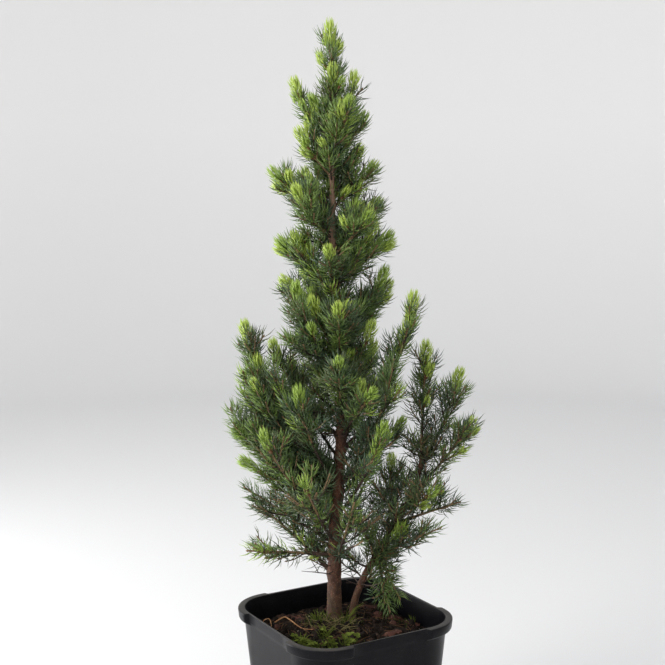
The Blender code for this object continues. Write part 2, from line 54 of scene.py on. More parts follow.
# %% [markdown]
# ## Node helpers
# Materials and shapes are both made with nodes here. One helper adds a node, sets its options and fills
# its open sockets in order: a value is set, a socket is linked. That keeps each tree below as short as
# the formula it stands for.

# %% Add a node


def add_node(tree, kind, *values, **options):
    """A node of a kind, with its options set and its open inputs filled in order."""
    made = tree.nodes.new(kind)
    for option, value in options.items():
        setattr(made, option, value)
    sockets = [socket for socket in made.inputs if socket.enabled]
    for socket, value in zip(sockets, values):
        if isinstance(value, bpy.types.NodeSocket):
            tree.links.new(value, socket)
        elif value is not None:
            socket.default_value = value
    return made


def output(*node, **options):
    """The first output of a new node."""
    return add_node(*node, **options).outputs[0]


def maths(tree, operation, *values, clamp=False):
    return output(tree, "ShaderNodeMath", *values, operation=operation, use_clamp=clamp)


def times(tree, first, second):
    return maths(tree, "MULTIPLY", first, second)


def plus(tree, first, second, clamp=False):
    return maths(tree, "ADD", first, second, clamp=clamp)


def vectors(tree, operation, *values):
    return output(tree, "ShaderNodeVectorMath", *values, operation=operation)


def ramp(tree, value, start, end, low, high):
    """The value's way from start to end, as a number from low to high."""
    return output(tree, "ShaderNodeMapRange", value, start, end, low, high)


def blend_colours(tree, share, first, second):
    """A colour between two, where each is a colour or a socket."""
    mix = tree.nodes.new("ShaderNodeMix")
    mix.data_type = "RGBA"
    tree.links.new(share, mix.inputs["Factor"])
    for socket, colour in ((mix.inputs[6], first), (mix.inputs[7], second)):
        if isinstance(colour, bpy.types.NodeSocket):
            tree.links.new(colour, socket)
        else:
            socket.default_value = (*colour, 1)
    return mix.outputs[2]


# %% [markdown]
# ## Growth rule: sizes
# The crown grows by the rule that shaped the solids, with the same sizes and the same table of shoots. A
# row is one shoot with the foliage round it: the height of its root, its turn, its reach, the height of
# its tip, its curl, and the share of it that is a bare bough. So every needle ends up in the space that
# its solid holds.

# %% Sizes shared with the solids
SEED = 41
noise.seed_set(SEED)  # or else noise_vector would start from the clock
POT_HEIGHT = 130 * MM
RIM_SIDE = 130 * MM
WALL_TOP_SIDE = 120.5 * MM
BASE_SIDE = 98 * MM
WALL_TOP_CORNER = 27 * MM
BASE_CORNER = 20 * MM
WALL = 1.3 * MM
FLOOR = 1.6 * MM
RIM_BAND = 6.5 * MM
RIM_SLOPE = 2.5 * MM
BASE_EDGE = 1.5 * MM
STRAIGHT = WALL_TOP_SIDE / 2 - WALL_TOP_CORNER
GRIP_HALF = 29 * MM
GRIP_RAMP = 2.0 * MM
GRIP_RIM = 0.12
POT_TURN = radians(31)
SOIL_EDGE = 112 * MM
GROUND = 117.5 * MM
CLEAR = 0.3 * MM

FOOT = Vector((-7 * MM, 12 * MM, 0))
TRUNK_TOP = 364 * MM
TRUNK_RADIUS = 5.1 * MM
TRUNK_TIP_RADIUS = 0.9 * MM
TRUNK_TAPER = 0.85
FLARE = 2.4 * MM
FLARE_HEIGHT = 6 * MM
FLARE_LOBES = 5
LOBE_SHARE = 0.3
BOW = 6.5 * MM
BOW_HEIGHT = 165 * MM
BOW_SPREAD = 75 * MM
SECOND_FOOT = Vector((6 * MM, 13 * MM, 0))
SECOND_AZIMUTH = radians(2)
SECOND_REACH = 51 * MM
SECOND_UPRIGHT = 125 * MM
SECOND_TOP = 138 * MM
SECOND_RADIUS = 2.7 * MM
SECOND_TIP_RADIUS = 1.2 * MM

BOUGH_ROOT_RADIUS = 1.7 * MM
BOUGH_TIP_RADIUS = 1.1 * MM
STEM_ROOT_RADIUS = 1.5 * MM
STEM_TIP_RADIUS = 0.8 * MM
BAND = 9.5 * MM
SIDE_FOOT = 6 * MM
BUD = 7 * MM
SIDE_SHARE = 0.5
SIDE_LONGEST = 38 * MM
SIDE_SHORTENING = 0.5
SIDE_SPREAD = 0.15
SIDE_ANGLE = radians(48)
SIDE_LIFT = 0.25
SHORT_STEM = 52 * MM
SPIRAL_TURN = 137.5 / 120
SPACE_MARGIN = 2.4 * MM
LIMB_MARGIN = 1.0 * MM
START_STEP = 0.002
LINE_STEP = 5 * MM
LENGTH_STOPS = 40

Shoot = namedtuple("Shoot", "name carrier root turn reach tip curl bare", defaults=(0,))

SHOOT_TABLE = (  # lengths in mm, turn in degrees from the right
    "trunk",
    ("low_left", 50, 190, 66, 57, 0.6, 0.34), ("left_second", 35, 166, 61, 88, 0.9, 0.32),
    ("left_third", 58, 184, 67, 103, 1.0), ("left_wide", 94, 189, 74, 146, 1.1, 0.24),
    ("left_tall", 112, 182, 67, 223, 1.5, 0.30), ("left_inner", 138, 163, 52, 207, 1.4),
    ("right_tall", 128, 336, 56, 245, 1.5, 0.26), ("right_front", 100, 316, 54, 201, 1.4),
    ("right_back", 92, 30, 58, 146, 1.1), ("front_left", 104, 232, 44, 181, 1.5),
    ("front_star", 138, 290, 66, 182, 1.0), ("front_low_left", 72, 219, 64, 151, 1.3),
    ("front_low", 60, 252, 67, 124, 1.2), ("front_lowest", 44, 284, 58, 105, 1.1),
    ("front_right", 80, 304, 60, 158, 1.3), ("front_mid", 152, 268, 52, 202, 1.1),
    ("back_low", 46, 98, 64, 92, 1.0), ("back_low_left", 70, 138, 70, 132, 1.2),
    ("back_low_right", 62, 58, 64, 116, 1.1), ("back_mid_left", 122, 128, 60, 190, 1.4),
    ("back_mid_right", 130, 66, 58, 197, 1.4),
    "second",
    ("second_top", 138, 5, 3, 207, 1.0), ("far_right", 116, 8, 29, 187, 1.3),
    ("right_long", 92, 350, 46, 152, 1.1, 0.30), ("right_low", 72, 344, 50, 93, 0.8, 0.26),
    ("right_lowest", 48, 338, 52, 76, 0.9), ("right_low_front", 84, 298, 44, 108, 1.1),
    ("second_back", 64, 84, 40, 116, 1.2), ("droop", 52, 300, 17, 10, 0.6),
    "trunk",
    ("left_upright", 184, 214, 38, 252, 1.6), ("front_upper", 192, 268, 43, 238, 1.1),
    ("left_upper", 212, 168, 42, 253, 1.1), ("back_upper", 180, 95, 47, 240, 1.3),
    ("right_upper", 205, 14, 38, 250, 1.2), ("front_high", 248, 262, 34, 276, 1.0),
    ("left_high", 244, 182, 41, 281, 1.1), ("right_high", 246, 346, 41, 285, 1.1),
    ("right_front_high", 268, 312, 40, 299, 1.1), ("back_high", 250, 84, 41, 288, 1.1),
    ("right_back_high", 276, 26, 38, 308, 1.1), ("left_front_high", 280, 228, 38, 318, 1.3),
    ("left_crown", 292, 174, 44, 330, 1.2), ("right_crown", 302, 8, 31, 334, 1.2),
    ("back_crown", 306, 96, 33, 342, 1.2), ("left_top", 324, 204, 26, 357, 1.2),
    ("right_top", 334, 20, 25, 369, 1.3), ("front_top", 340, 300, 27, 378, 1.3),
    ("left_spire", 350, 186, 26, 392, 1.5), ("leader", 364, 180, 1, 431, 1.0),
)


def read_shoots(table):
    """The shoots of a table, whose rows stand under the name of their carrier."""
    found = []
    for row in table:
        if isinstance(row, str):
            carrier = row
        else:
            found.append(Shoot(row[0], carrier, *row[1:]))
    return found


SHOOTS = read_shoots(SHOOT_TABLE)
print(len(SHOOTS), "shoots,", sum(shoot.bare > 0 for shoot in SHOOTS), "of them on a bare bough")

# %% [markdown]
# ## Growth rule: centre lines
# A stem or a shoot is first a line: the trunk has a small bow, the second stem leans out and then stands
# up, and shoots curl up from both. The formulas give a point for any height or share of the length, so
# one rule serves the bark, the needles and the search for free space.

# %% Centre lines of stems and shoots


def clamped(x):
    return min(max(x, 0), 1)


def smooth_step(x):
    x = clamped(x)
    return x * x * (3 - 2 * x)


def outward(turn):
    return Vector((cos(turn), sin(turn), 0))


def trunk_axis(height):
    bow = BOW * exp(-(((height - BOW_HEIGHT) / BOW_SPREAD) ** 2))
    return FOOT + Vector((bow, 0, GROUND + height))


def trunk_radius(height):
    share = clamped(height / TRUNK_TOP)
    taper = TRUNK_TIP_RADIUS + (TRUNK_RADIUS - TRUNK_TIP_RADIUS) * (1 - share) ** TRUNK_TAPER
    return taper + FLARE * exp(-height / FLARE_HEIGHT)


def second_axis(height):
    lean = SECOND_REACH * smooth_step(height / SECOND_UPRIGHT)
    return SECOND_FOOT + outward(SECOND_AZIMUTH) * lean + Vector((0, 0, GROUND + height))


def second_radius(height):
    share = clamped(height / SECOND_TOP)
    return SECOND_RADIUS + (SECOND_TIP_RADIUS - SECOND_RADIUS) * share


Carrier = namedtuple("Carrier", "axis radius top")
CARRIERS = {
    "trunk": Carrier(trunk_axis, trunk_radius, TRUNK_TOP),
    "second": Carrier(second_axis, second_radius, SECOND_TOP),
}


def carrier_line(carrier, step=LINE_STEP, first=0.0):
    """Points up a carrier's axis from a height to its top, and its radius at each."""
    count = round((carrier.top - first) / step)
    heights = [first + (carrier.top - first) * i / count for i in range(count + 1)]
    return [carrier.axis(height) for height in heights], [carrier.radius(height) for height in heights]


def shoot_point(shoot, share):
    """The shoot's centre line: out from its carrier and up, from 0 on the carrier's axis to 1."""
    axis = CARRIERS[shoot.carrier].axis
    out = shoot.reach * MM * (1 - (1 - share) ** max(shoot.curl, 1))
    rise = (shoot.tip - shoot.root) * MM * share ** (0.5 + 0.5 * shoot.curl)
    return axis(shoot.root * MM) + outward(radians(shoot.turn)) * out + Vector((0, 0, rise))


def length_of(path):
    return sum((b - a).length for a, b in zip(path, path[1:]))


def shoot_path(shoot, first, last, step):
    ends = [shoot_point(shoot, first + (last - first) * i / LENGTH_STOPS) for i in range(LENGTH_STOPS + 1)]
    count = max(2, ceil(length_of(ends) / step))
    return [shoot_point(shoot, first + (last - first) * i / count) for i in range(count + 1)]


def tangents(path):
    ends = [path[0]] + path + [path[-1]]
    return [(b - a).normalized() for a, b in zip(ends, ends[2:])]


print("trunk foot and tip, mm:", [round(trunk_radius(h) / MM, 2) for h in (0, TRUNK_TOP)])

# %% [markdown]
# ## Growth rule: free space
# Foliage fills the light that its neighbours leave. Here each mass owns the space that is nearer to its
# own stem than to any other. The distances to all stems are measured at once, with arrays, because a
# loop over every stem for every twig would be slow.

# %% The space that belongs to each mass


def clear_start(shoot):
    """The share along a shoot where its twig stands clear of its carrier."""
    path, radii = carrier_line(CARRIERS[shoot.carrier])
    starts, ends, _ = Space.segments([path])
    share = 0.0
    gap = 0.0
    while gap < CLEAR:
        share += START_STEP
        point = shoot_point(shoot, share)
        gap = (Space.distances(point, starts, ends) - radii[:-1]).min() - STEM_ROOT_RADIUS
    return share


def stem_ends(shoot):
    """Where a mass's stem starts and ends, as shares of its shoot."""
    length = length_of(shoot_path(shoot, 0, 1, BAND))
    if shoot.bare:
        first = shoot.bare + CLEAR / length
    elif shoot.root * MM >= CARRIERS[shoot.carrier].top:
        first = CLEAR / length
    else:
        first = clear_start(shoot)
    return first, 1 - BUD / length


class Space:
    """Tells each mass which space is its own, and how near the trunk and boughs a point is."""

    def __init__(self, stems, limbs):
        self.stem_from, self.stem_to, self.owner = self.segments(stems)
        self.limb_from, self.limb_to, _ = self.segments([path for path, _ in limbs])
        self.limb_radius = np.concatenate([radii[:-1] for _, radii in limbs])

    @staticmethod
    def segments(paths):
        starts = np.array([tuple(p) for path in paths for p in path[:-1]])
        ends = np.array([tuple(p) for path in paths for p in path[1:]])
        owner = np.array([i for i, path in enumerate(paths) for _ in path[:-1]])
        return starts, ends, owner

    @staticmethod
    def distances(point, starts, ends):
        along = ends - starts
        offset = np.array(tuple(point)) - starts
        share = np.clip((offset * along).sum(1) / (along * along).sum(1), 0, 1)
        return np.linalg.norm(offset - along * share[:, None], axis=1)

    def own(self, point, index):
        """How much nearer its own stem a point is than any other's."""
        away = self.distances(point, self.stem_from, self.stem_to)
        mine = self.owner == index
        return away[~mine].min() - away[mine].min()

    def limb_gap(self, point):
        return (self.distances(point, self.limb_from, self.limb_to) - self.limb_radius).min()

    def free(self, point, index, margin=SPACE_MARGIN):
        return (
            point.z > GROUND + LIMB_MARGIN
            and self.own(point, index) > margin
            and self.limb_gap(point) > LIMB_MARGIN
        )


limbs = [carrier_line(carrier) for carrier in CARRIERS.values()]
for shoot in SHOOTS:
    if shoot.bare:
        path = shoot_path(shoot, 0, shoot.bare, LINE_STEP)
        limbs.append((path, [BOUGH_ROOT_RADIUS] * len(path)))
stems = [shoot_path(shoot, *stem_ends(shoot), BAND) for shoot in SHOOTS]
space = Space(stems, limbs)
print("stems:", len(stems), "with", round(sum(map(length_of, stems)), 2), "m of leading shoots")

# %% [markdown]
# ## Twigs
# Side shoots climb each leading shoot in a spiral and get shorter towards its tip. A twig is kept only
# where its tip lies in the mass's own space. It turns up towards the light along its length, which a
# straight line would not show.

# %% Side shoots by the rule of the solids
TWIG_STEP = 2.5 * MM
UPTURN = 0.28  # how far a twig's tip rises above its heading, as a share of its length
THINNING_FROM = 0.40  # share of a leading shoot where its side shoots start to get shorter
THINNING = 0.65
UPRIGHT_REACH = 20  # mm; a shoot that reaches out less stays slim, with short side shoots
LEADER_SHARE = 0.45
SLIM = {  # the side shoots of these are cut to this share of their length
    "right_tall": 0.35, "second_top": 0.5, "left_tall": 0.9, "left_inner": 0.8, "far_right": 0.8,
    "left_spire": 0.5, "left_top": 0.6, "right_top": 0.65, "front_top": 0.7, "left_crown": 0.85,
    "right_crown": 0.8, "right_upper": 0.7, "back_crown": 0.8,
}
BUD_GROWN = 0.55  # how far the fresh growth has pushed through the bud stretch of a shoot
LEADING_ROOT_RADIUS = 1.2 * MM
LEADING_TIP_RADIUS = 0.6 * MM
SIDE_ROOT_RADIUS = 0.7 * MM
FINE_ROOT_RADIUS = 0.55 * MM
TIP_RADIUS = 0.42 * MM

Twig = namedtuple("Twig", "shoot rank path radii")


def side_shoots(shoot, stem, index):
    """The root, heading, length and band of each side shoot on a mass's stem."""
    random = Random(f"{shoot.name} {SEED}")
    bands = len(stem) - 1
    longest = min(SIDE_LONGEST, SIDE_SHARE * length_of(stem))
    start = random.randrange(3)
    level_side = UP.cross(outward(radians(shoot.turn)))
    per_band = 2 if length_of(stem) < SHORT_STEM else 1
    found = []
    for i, more in product(range(1, bands), range(per_band)):
        k = (start + round(SPIRAL_TURN * i) - i // 2 + more) % 3
        forward = (stem[i + 1] - stem[i]).normalized()
        across = (level_side - forward * level_side.dot(forward)).normalized()
        turn = pi / 2 + i * pi / 3 + k * tau / 3
        out = across * cos(turn) + forward.cross(across) * sin(turn)
        middle = (stem[i] + stem[i + 1]) / 2
        heading = (forward * cos(SIDE_ANGLE) + out * sin(SIDE_ANGLE) + UP * SIDE_LIFT).normalized()
        vary = random.uniform(1 - SIDE_SPREAD, 1 + SIDE_SPREAD)
        length = longest * (1 - SIDE_SHORTENING * i / bands) * vary
        ahead = BAND * (bands - i)
        whorls = min(max(1, round((length - SIDE_FOOT) / BAND)), int((ahead - SIDE_FOOT) / BAND))
        while whorls and not all(
            space.free(middle + heading * (SIDE_FOOT + BAND * step), index) for step in range(whorls + 1)
        ):
            whorls -= 1
        if whorls:
            found.append((middle, heading, SIDE_FOOT + BAND * whorls, i / bands))
    return found


def twig_point(root, heading, length, along):
    return root + heading * along + UP * (UPTURN * along * along / length)


def twig_path(root, heading, length):
    count = max(2, ceil(length / TWIG_STEP))
    return [twig_point(root, heading, length, length * i / count) for i in range(count + 1)]


def tapered(path, root_radius, tip_radius):
    last = len(path) - 1
    return [root_radius + (tip_radius - root_radius) * i / last for i in range(last + 1)]


# %% [markdown]
# ## Finer twigs and spurs
# A side shoot carries short twigs to its left and right, and spurs stand between the shoots. Particles
# could be scattered for them, but would not know their neighbours. Here each one is a short line that
# starts on its parent's line and is kept only where there is room for it.

# %% Finer twigs and spurs
FINE_STEP = 5.5 * MM
FINE_FIRST = 5 * MM
FINE_SHARE = 0.55  # longest finer twig, as a share of the side shoot that is left above it
FINE_LONGEST = 15 * MM
FINE_SHORTEST = 5 * MM
FINE_ANGLE = radians(46)
FINE_LEAN = (-0.2, 0.5)
FINE_REACH = (0.8, 1.1)
FINE_JITTER = (0.8, 1.2)
FINE_MARGIN = -3 * MM  # finer twigs may reach a little into a neighbour's space
SPUR_STEP = 4.2 * MM
SPUR_LENGTH = (7 * MM, 15 * MM)
SPUR_ANGLE = (radians(36), radians(60))
SPUR_KEEP = 0.85
SPUR_SHARE = 0.8  # longest spur, as a share of the shoot that is left above it
SPUR_JITTER = (0.7, 1.3)
CLEAN_TIP = 15 * MM  # the end of a leading shoot carries no spurs


def any_way(random, spread):
    """A vector that points anywhere, up to the spread along each axis."""
    return Vector([random.uniform(-spread, spread) for _ in range(3)])


def fine_twig(shoot, start, way, reach):
    path = twig_path(start, way, reach)
    return Twig(shoot, 2, path, tapered(path, FINE_ROOT_RADIUS, TIP_RADIUS))


def finer_twigs(root, heading, length, index, random):
    """Short twigs to either side of a side shoot."""
    side = heading.cross(UP).normalized()
    found = []
    along = FINE_FIRST
    hand = random.choice((-1, 1))
    while along < length - FINE_SHORTEST:
        reach = min(FINE_LONGEST, FINE_SHARE * (length - along) + FINE_SHORTEST)
        reach *= random.uniform(*FINE_REACH)
        lean = side * hand + UP * random.uniform(*FINE_LEAN)
        way = (heading * cos(FINE_ANGLE) + lean.normalized() * sin(FINE_ANGLE)).normalized()
        start = twig_point(root, heading, length, along)
        if index is None or space.free(start + way * reach, index, FINE_MARGIN):
            found.append((start, way, reach))
        along += FINE_STEP * random.uniform(*FINE_JITTER)
        hand = -hand
    return found


def spurs(path, index, random):
    """Short twigs straight on a leading shoot, between its side shoots."""
    found = []
    total = length_of(path)
    along = SPUR_STEP
    while along < total - CLEAN_TIP:
        place = min(int(along / total * (len(path) - 1)), len(path) - 2)
        forward = (path[place + 1] - path[place]).normalized()
        across = forward.cross(any_way(random, 1))
        angle = random.uniform(*SPUR_ANGLE)
        way = (forward * cos(angle) + across.normalized() * sin(angle) + UP * SIDE_LIFT).normalized()
        reach = min(random.uniform(*SPUR_LENGTH), SPUR_SHARE * (total - along))
        free = index is None or space.free(path[place] + way * reach, index, FINE_MARGIN)
        if random.random() < SPUR_KEEP and free:
            found.append((path[place], way, reach))
        along += SPUR_STEP * random.uniform(*SPUR_JITTER)
    return found


def grow_mass(shoot, stem, index):
    """The leading shoot of a mass and all its twigs."""
    random = Random(f"fine {shoot.name} {SEED}")
    _, last = stem_ends(shoot)
    last += (1 - last) * BUD_GROWN
    leading = shoot_path(shoot, shoot.bare, last, TWIG_STEP)
    root_radius = BOUGH_TIP_RADIUS if shoot.bare else LEADING_ROOT_RADIUS
    twigs = [Twig(shoot, 0, leading, tapered(leading, root_radius, LEADING_TIP_RADIUS))]
    for root, heading, length, share in side_shoots(shoot, stem, index):
        length *= 1 - THINNING * smooth_step((share - THINNING_FROM) / (1 - THINNING_FROM))
        length *= LEADER_SHARE if shoot.reach < UPRIGHT_REACH else SLIM.get(shoot.name, 1)
        path = twig_path(root, heading, length)
        twigs.append(Twig(shoot, 1, path, tapered(path, SIDE_ROOT_RADIUS, TIP_RADIUS)))
        twigs += [fine_twig(shoot, *fine) for fine in finer_twigs(root, heading, length, index, random)]
    return twigs + [fine_twig(shoot, *spur) for spur in spurs(leading, index, random)]


twigs = [twig for i, (shoot, stem) in enumerate(zip(SHOOTS, stems)) for twig in grow_mass(shoot, stem, i)]
print("twigs in the masses:", len(twigs))

# %% [markdown]
# ## Sprigs on the stems
# Young twigs sprout straight from the trunk and hide it almost everywhere. They climb it in a spiral by
# the golden angle, as its buds do, which is quicker than placing them by hand and leaves no rows.

# %% Sprigs on the stems
SPRIG_LENGTH = (13 * MM, 27 * MM)
SPRIG_RISE = (0.35, 1.1)
SPRIG_STRETCHES = (  # carrier, first height, last height, step, all in mm
    ("trunk", 66, 150, 6.0), ("trunk", 150, 250, 3.0), ("trunk", 250, 325, 4.5),
    ("trunk", 325, 362, 2.6), ("second", 26, 60, 3.4), ("second", 60, 136, 4.0),
)
SPRIG_TURN = 0.4  # radians
ROOT_DEPTH = 0.7  # of the stem's radius, where a sprig starts
NEAR_STEM = 15 * MM
GOLDEN_DEGREES = 137.5
GOLDEN_ANGLE = radians(GOLDEN_DEGREES)


def sprigs(name, first, last, step, random):
    """Short twigs straight on the trunk or the second stem, in a spiral between the shoots."""
    carrier = CARRIERS[name]
    own = [shoot for shoot in SHOOTS if shoot.carrier == name]
    found = []
    for i in range(int((last - first) / step)):
        height = (first + step * (i + random.random())) * MM
        shoot = min(own, key=lambda shoot: abs(shoot.root * MM - height))
        way = outward(i * GOLDEN_ANGLE + random.uniform(-SPRIG_TURN, SPRIG_TURN))
        heading = (way + UP * random.uniform(*SPRIG_RISE)).normalized()
        root = carrier.axis(height) + way * carrier.radius(height) * ROOT_DEPTH
        length = random.uniform(*SPRIG_LENGTH)
        tip = twig_point(root, heading, length, length)
        if space.distances(tip, space.stem_from, space.stem_to).min() < NEAR_STEM:
            path = twig_path(root, heading, length)
            found.append(Twig(shoot, 1, path, tapered(path, SIDE_ROOT_RADIUS, TIP_RADIUS)))
            found += [fine_twig(shoot, *fine) for fine in finer_twigs(root, heading, length, None, random)]
    return found


for stretch in SPRIG_STRETCHES:
    twigs += sprigs(*stretch, Random(f"{stretch} {SEED}"))
print("with sprigs:", len(twigs))

# %% [markdown]
# ## Small shoots between the masses
# Between the large masses grow shoots that are too small for a solid of their own. A second table
# places them by the rule of the large ones, and a spiral of fillers up the trunk closes the tiers.

# %% Small shoots between the masses
SMALL_SHOOT_TABLE = (
    "trunk",
    ("by_leader_front", 354, 278, 7, 398, 1.3), ("by_leader_right", 346, 352, 16, 393, 1.4),
    ("by_leader_back", 350, 80, 12, 388, 1.4), ("by_leader_left", 328, 196, 16, 366, 1.3),
    ("inner_left", 96, 176, 42, 178, 1.4), ("inner_left_front", 108, 206, 50, 196, 1.4),
    ("inner_left_back", 90, 158, 50, 168, 1.4), ("outer_left", 84, 192, 68, 124, 1.1),
    ("outer_left_mid", 90, 180, 60, 142, 1.2), ("outer_left_back", 86, 168, 68, 134, 1.1),
    ("outer_left_front", 92, 200, 62, 150, 1.2), ("low_left_inner", 74, 188, 54, 112, 1.1),
    ("tall_left_inner", 118, 188, 58, 196, 1.5), ("tall_left_outer", 110, 184, 61, 196, 1.5),
    ("tall_left_back", 112, 172, 60, 190, 1.5), ("tall_left_low", 102, 186, 67, 186, 1.4),
    ("wide_left_low", 90, 192, 74, 150, 1.2), ("right_waist", 212, 352, 33, 258, 1.2),
    "second",
    ("droop_left", 53, 285, 14, 19, 0.6), ("droop_right", 53, 316, 20, 22, 0.6),
    "trunk",
    ("wide_left_upper", 104, 184, 68, 172, 1.3), ("wide_left_front", 108, 198, 62, 180, 1.3),
    ("wide_left_back", 100, 170, 64, 166, 1.3), ("outer_left_fill", 98, 188, 76, 160, 1.3),
    ("foot_left_back", 42, 160, 40, 76, 0.9),
    "second",
    ("foot_right", 44, 330, 26, 74, 1.0), ("foot_right_low", 36, 20, 30, 58, 1.0),
    ("foot_right_left", 50, 220, 22, 84, 1.0),
)
FILLER_COUNT = 17
FILLER_TIPS = (203, 345)  # mm above the soil
FILLER_RISE = 42
FILLER_REACH = ((310, 30), (400, 20))  # up to a height of tip, mm: the reach
FILLER_CURL = 1.3
FILLER_START = 40  # degrees
FRONT_OPEN = (262, 340)  # tips between these heights, mm, leave the front of the trunk open
FRONT_SECTOR = (215, 325)  # degrees
SMALL_TIP_RADIUS = 0.5 * MM


def filler_shoots():
    """Small shoots that climb the upper trunk in a spiral and hide the tiers of the larger ones."""
    made = []
    for i in range(FILLER_COUNT):
        tip = FILLER_TIPS[0] + (FILLER_TIPS[1] - FILLER_TIPS[0]) * i / (FILLER_COUNT - 1)
        reach = next(reach for height, reach in FILLER_REACH if tip < height)
        turn = (FILLER_START + GOLDEN_DEGREES * i) % 360
        if FRONT_OPEN[0] < tip < FRONT_OPEN[1] and FRONT_SECTOR[0] < turn < FRONT_SECTOR[1]:
            continue
        made.append(Shoot(f"filler_{i}", "trunk", tip - FILLER_RISE, turn, reach, tip, FILLER_CURL))
    return made


def small_shoot(shoot, random):
    """A shoot that is too small for a solid of its own, with its spurs."""
    path = shoot_path(shoot, 0, 1, TWIG_STEP)
    found = [Twig(shoot, 0, path, tapered(path, STEM_TIP_RADIUS, SMALL_TIP_RADIUS))]
    return found + [fine_twig(shoot, *spur) for spur in spurs(path, None, random)]


SMALL_SHOOTS = read_shoots(SMALL_SHOOT_TABLE) + filler_shoots()
for shoot in SMALL_SHOOTS:
    twigs += small_shoot(shoot, Random(f"{shoot.name} {SEED}"))
print("small shoots:", len(SMALL_SHOOTS), "and twigs with theirs:", len(twigs))

# %% [markdown]
# ## Sprigs on the boughs
# Short twigs stand all round four of the boughs. Each one's heading is the bough's own direction with a
# part turned round it, so the sprigs follow the bough's curve.

# %% Sprigs on the boughs
CLAD_BOUGHS = {"low_left": 3.2, "left_second": 3.2, "right_low": 5.0, "right_long": 6.0}  # step, mm
BOUGH_SPRIG_LENGTH = (8 * MM, 16 * MM)
BOUGH_SPRIG_AHEAD = 0.8
BOUGH_SPRIG_LEAN = (-0.3, 0.6)


def bough_sprigs(shoot, step, random):
    """Short twigs along a bough, so that it does not look like a bare rod."""
    found = []
    path = shoot_path(shoot, 0, shoot.bare, step * MM)
    for i, root in enumerate(path[2:]):
        forward = (path[i + 2] - path[i + 1]).normalized()
        lean = outward(i * GOLDEN_ANGLE) + UP * random.uniform(*BOUGH_SPRIG_LEAN)
        way = forward.cross(lean).normalized()
        heading = (forward * BOUGH_SPRIG_AHEAD + way + UP * SIDE_LIFT).normalized()
        found.append(fine_twig(shoot, root, heading, random.uniform(*BOUGH_SPRIG_LENGTH)))
    return found


for shoot in SHOOTS:
    if shoot.name in CLAD_BOUGHS:
        twigs += bough_sprigs(shoot, CLAD_BOUGHS[shoot.name], Random(f"bough {shoot.name} {SEED}"))

# %% [markdown]
# ## Windows and gaps of sky
# A crown is open in places: the trunk shows, and here and there the sky shines right through. Twigs could
# be deleted by hand, but a rule is easier to change. A twig goes when its middle lies in a window, or
# when it crosses the camera's line of sight through a gap.

# %% Windows and gaps of sky
Window = namedtuple("Window", "low high half kept deep")
WINDOWS = (  # height above the soil and half width in mm, share of twigs kept, and whether it goes through
    Window(262, 330, 10, 0.1, False),
    Window(60, 140, 9, 0.15, False),
    Window(88, 140, 18, 0.3, True),
)


def middle_of(twig):
    return twig.path[len(twig.path) // 2]


def kept_in(window, twig, random):
    """Whether a twig stays: always outside the window, and more often at its edge than in its middle."""
    height = middle_of(twig).z - GROUND
    away = middle_of(twig) - trunk_axis(height)
    edge = abs(away.x) / (window.half * MM)
    inside = window.low * MM < height < window.high * MM and edge < 1 and (away.y < 0 or window.deep)
    if not twig.rank or not inside:
        return True
    return random.random() < window.kept + (1 - window.kept) * edge**2


CAMERA_PLACE = Vector((0, -0.838, 0.429))
SKY_GAPS = (  # x and height above the soil at the trunk, and radius, all in mm
    (-15, 132, 10), (-6, 126, 7), (13, 157, 5), (29, 124, 6), (14, 100, 6), (-18, 87, 4),
)


def in_sky_gap(twig):
    """Whether a twig's middle or tip lies on the line of sight through a gap."""
    for x, height, radius in SKY_GAPS:
        far = Vector((x * MM, FOOT.y, GROUND + height * MM))
        ahead = (far - CAMERA_PLACE).normalized()
        for point in (middle_of(twig), twig.path[-1]):
            if (point - CAMERA_PLACE).cross(ahead).length < radius * MM:
                return True
    return False


random = Random(f"windows {SEED}")
before = len(twigs)
for window in WINDOWS:
    twigs = [twig for twig in twigs if kept_in(window, twig, random)]
twigs = [twig for twig in twigs if not twig.rank or not in_sky_gap(twig)]
print("twigs left out in the windows:", before - len(twigs))
for rank in range(3):
    group = [length_of(twig.path) for twig in twigs if twig.rank == rank]
    print("rank", rank, ":", len(group), "twigs,", round(sum(group), 2), "m")

# %% [markdown]
# ## Geometry node helpers
# A tree of geometry nodes is a recipe with named inputs. The first helper makes the tree and its inputs.
# Another gives it an object to start from, sets the inputs by their identifiers, and reads the result as
# a plain mesh, so that each piece left in the scene is an ordinary mesh with its place in its points.

# %% Make and use a recipe


def new_recipe(name, **inputs):
    """An empty geometry node tree, and its inputs by name."""
    tree = bpy.data.node_groups.new(name, "GeometryNodeTree")
    tree.interface.new_socket("Geometry", in_out="INPUT", socket_type="NodeSocketGeometry")
    tree.interface.new_socket("Geometry", in_out="OUTPUT", socket_type="NodeSocketGeometry")
    for label, kind in inputs.items():
        kind = "NodeSocket" + kind.capitalize()
        tree.interface.new_socket(label.replace("_", " "), in_out="INPUT", socket_type=kind)
    given = tree.nodes.new("NodeGroupInput")
    return tree, {socket.name.replace(" ", "_"): socket for socket in given.outputs if socket.name}


def end_recipe(tree, geometry, finish):
    """The last steps of every recipe: real mesh in place of instances, and its material."""
    real = output(tree, "GeometryNodeRealizeInstances", geometry)
    done = output(tree, "GeometryNodeSetMaterial", real, None, finish)
    add_node(tree, "NodeGroupOutput", done)


def named(tree, label):
    return output(tree, "GeometryNodeInputNamedAttribute", label, data_type="FLOAT")


def chances(tree, seed):
    """A function that gives every point a random number, other ones for each step."""

    def some(low, high, step):
        number = plus(tree, seed, float(step))
        made = add_node(tree, "FunctionNodeRandomValue", low, high, None, number, data_type="FLOAT")
        return next(socket for socket in made.outputs if socket.enabled)

    return some


def link_object(name, mesh):
    made = bpy.data.objects.new(name, mesh)
    bpy.context.scene.collection.objects.link(made)
    return made


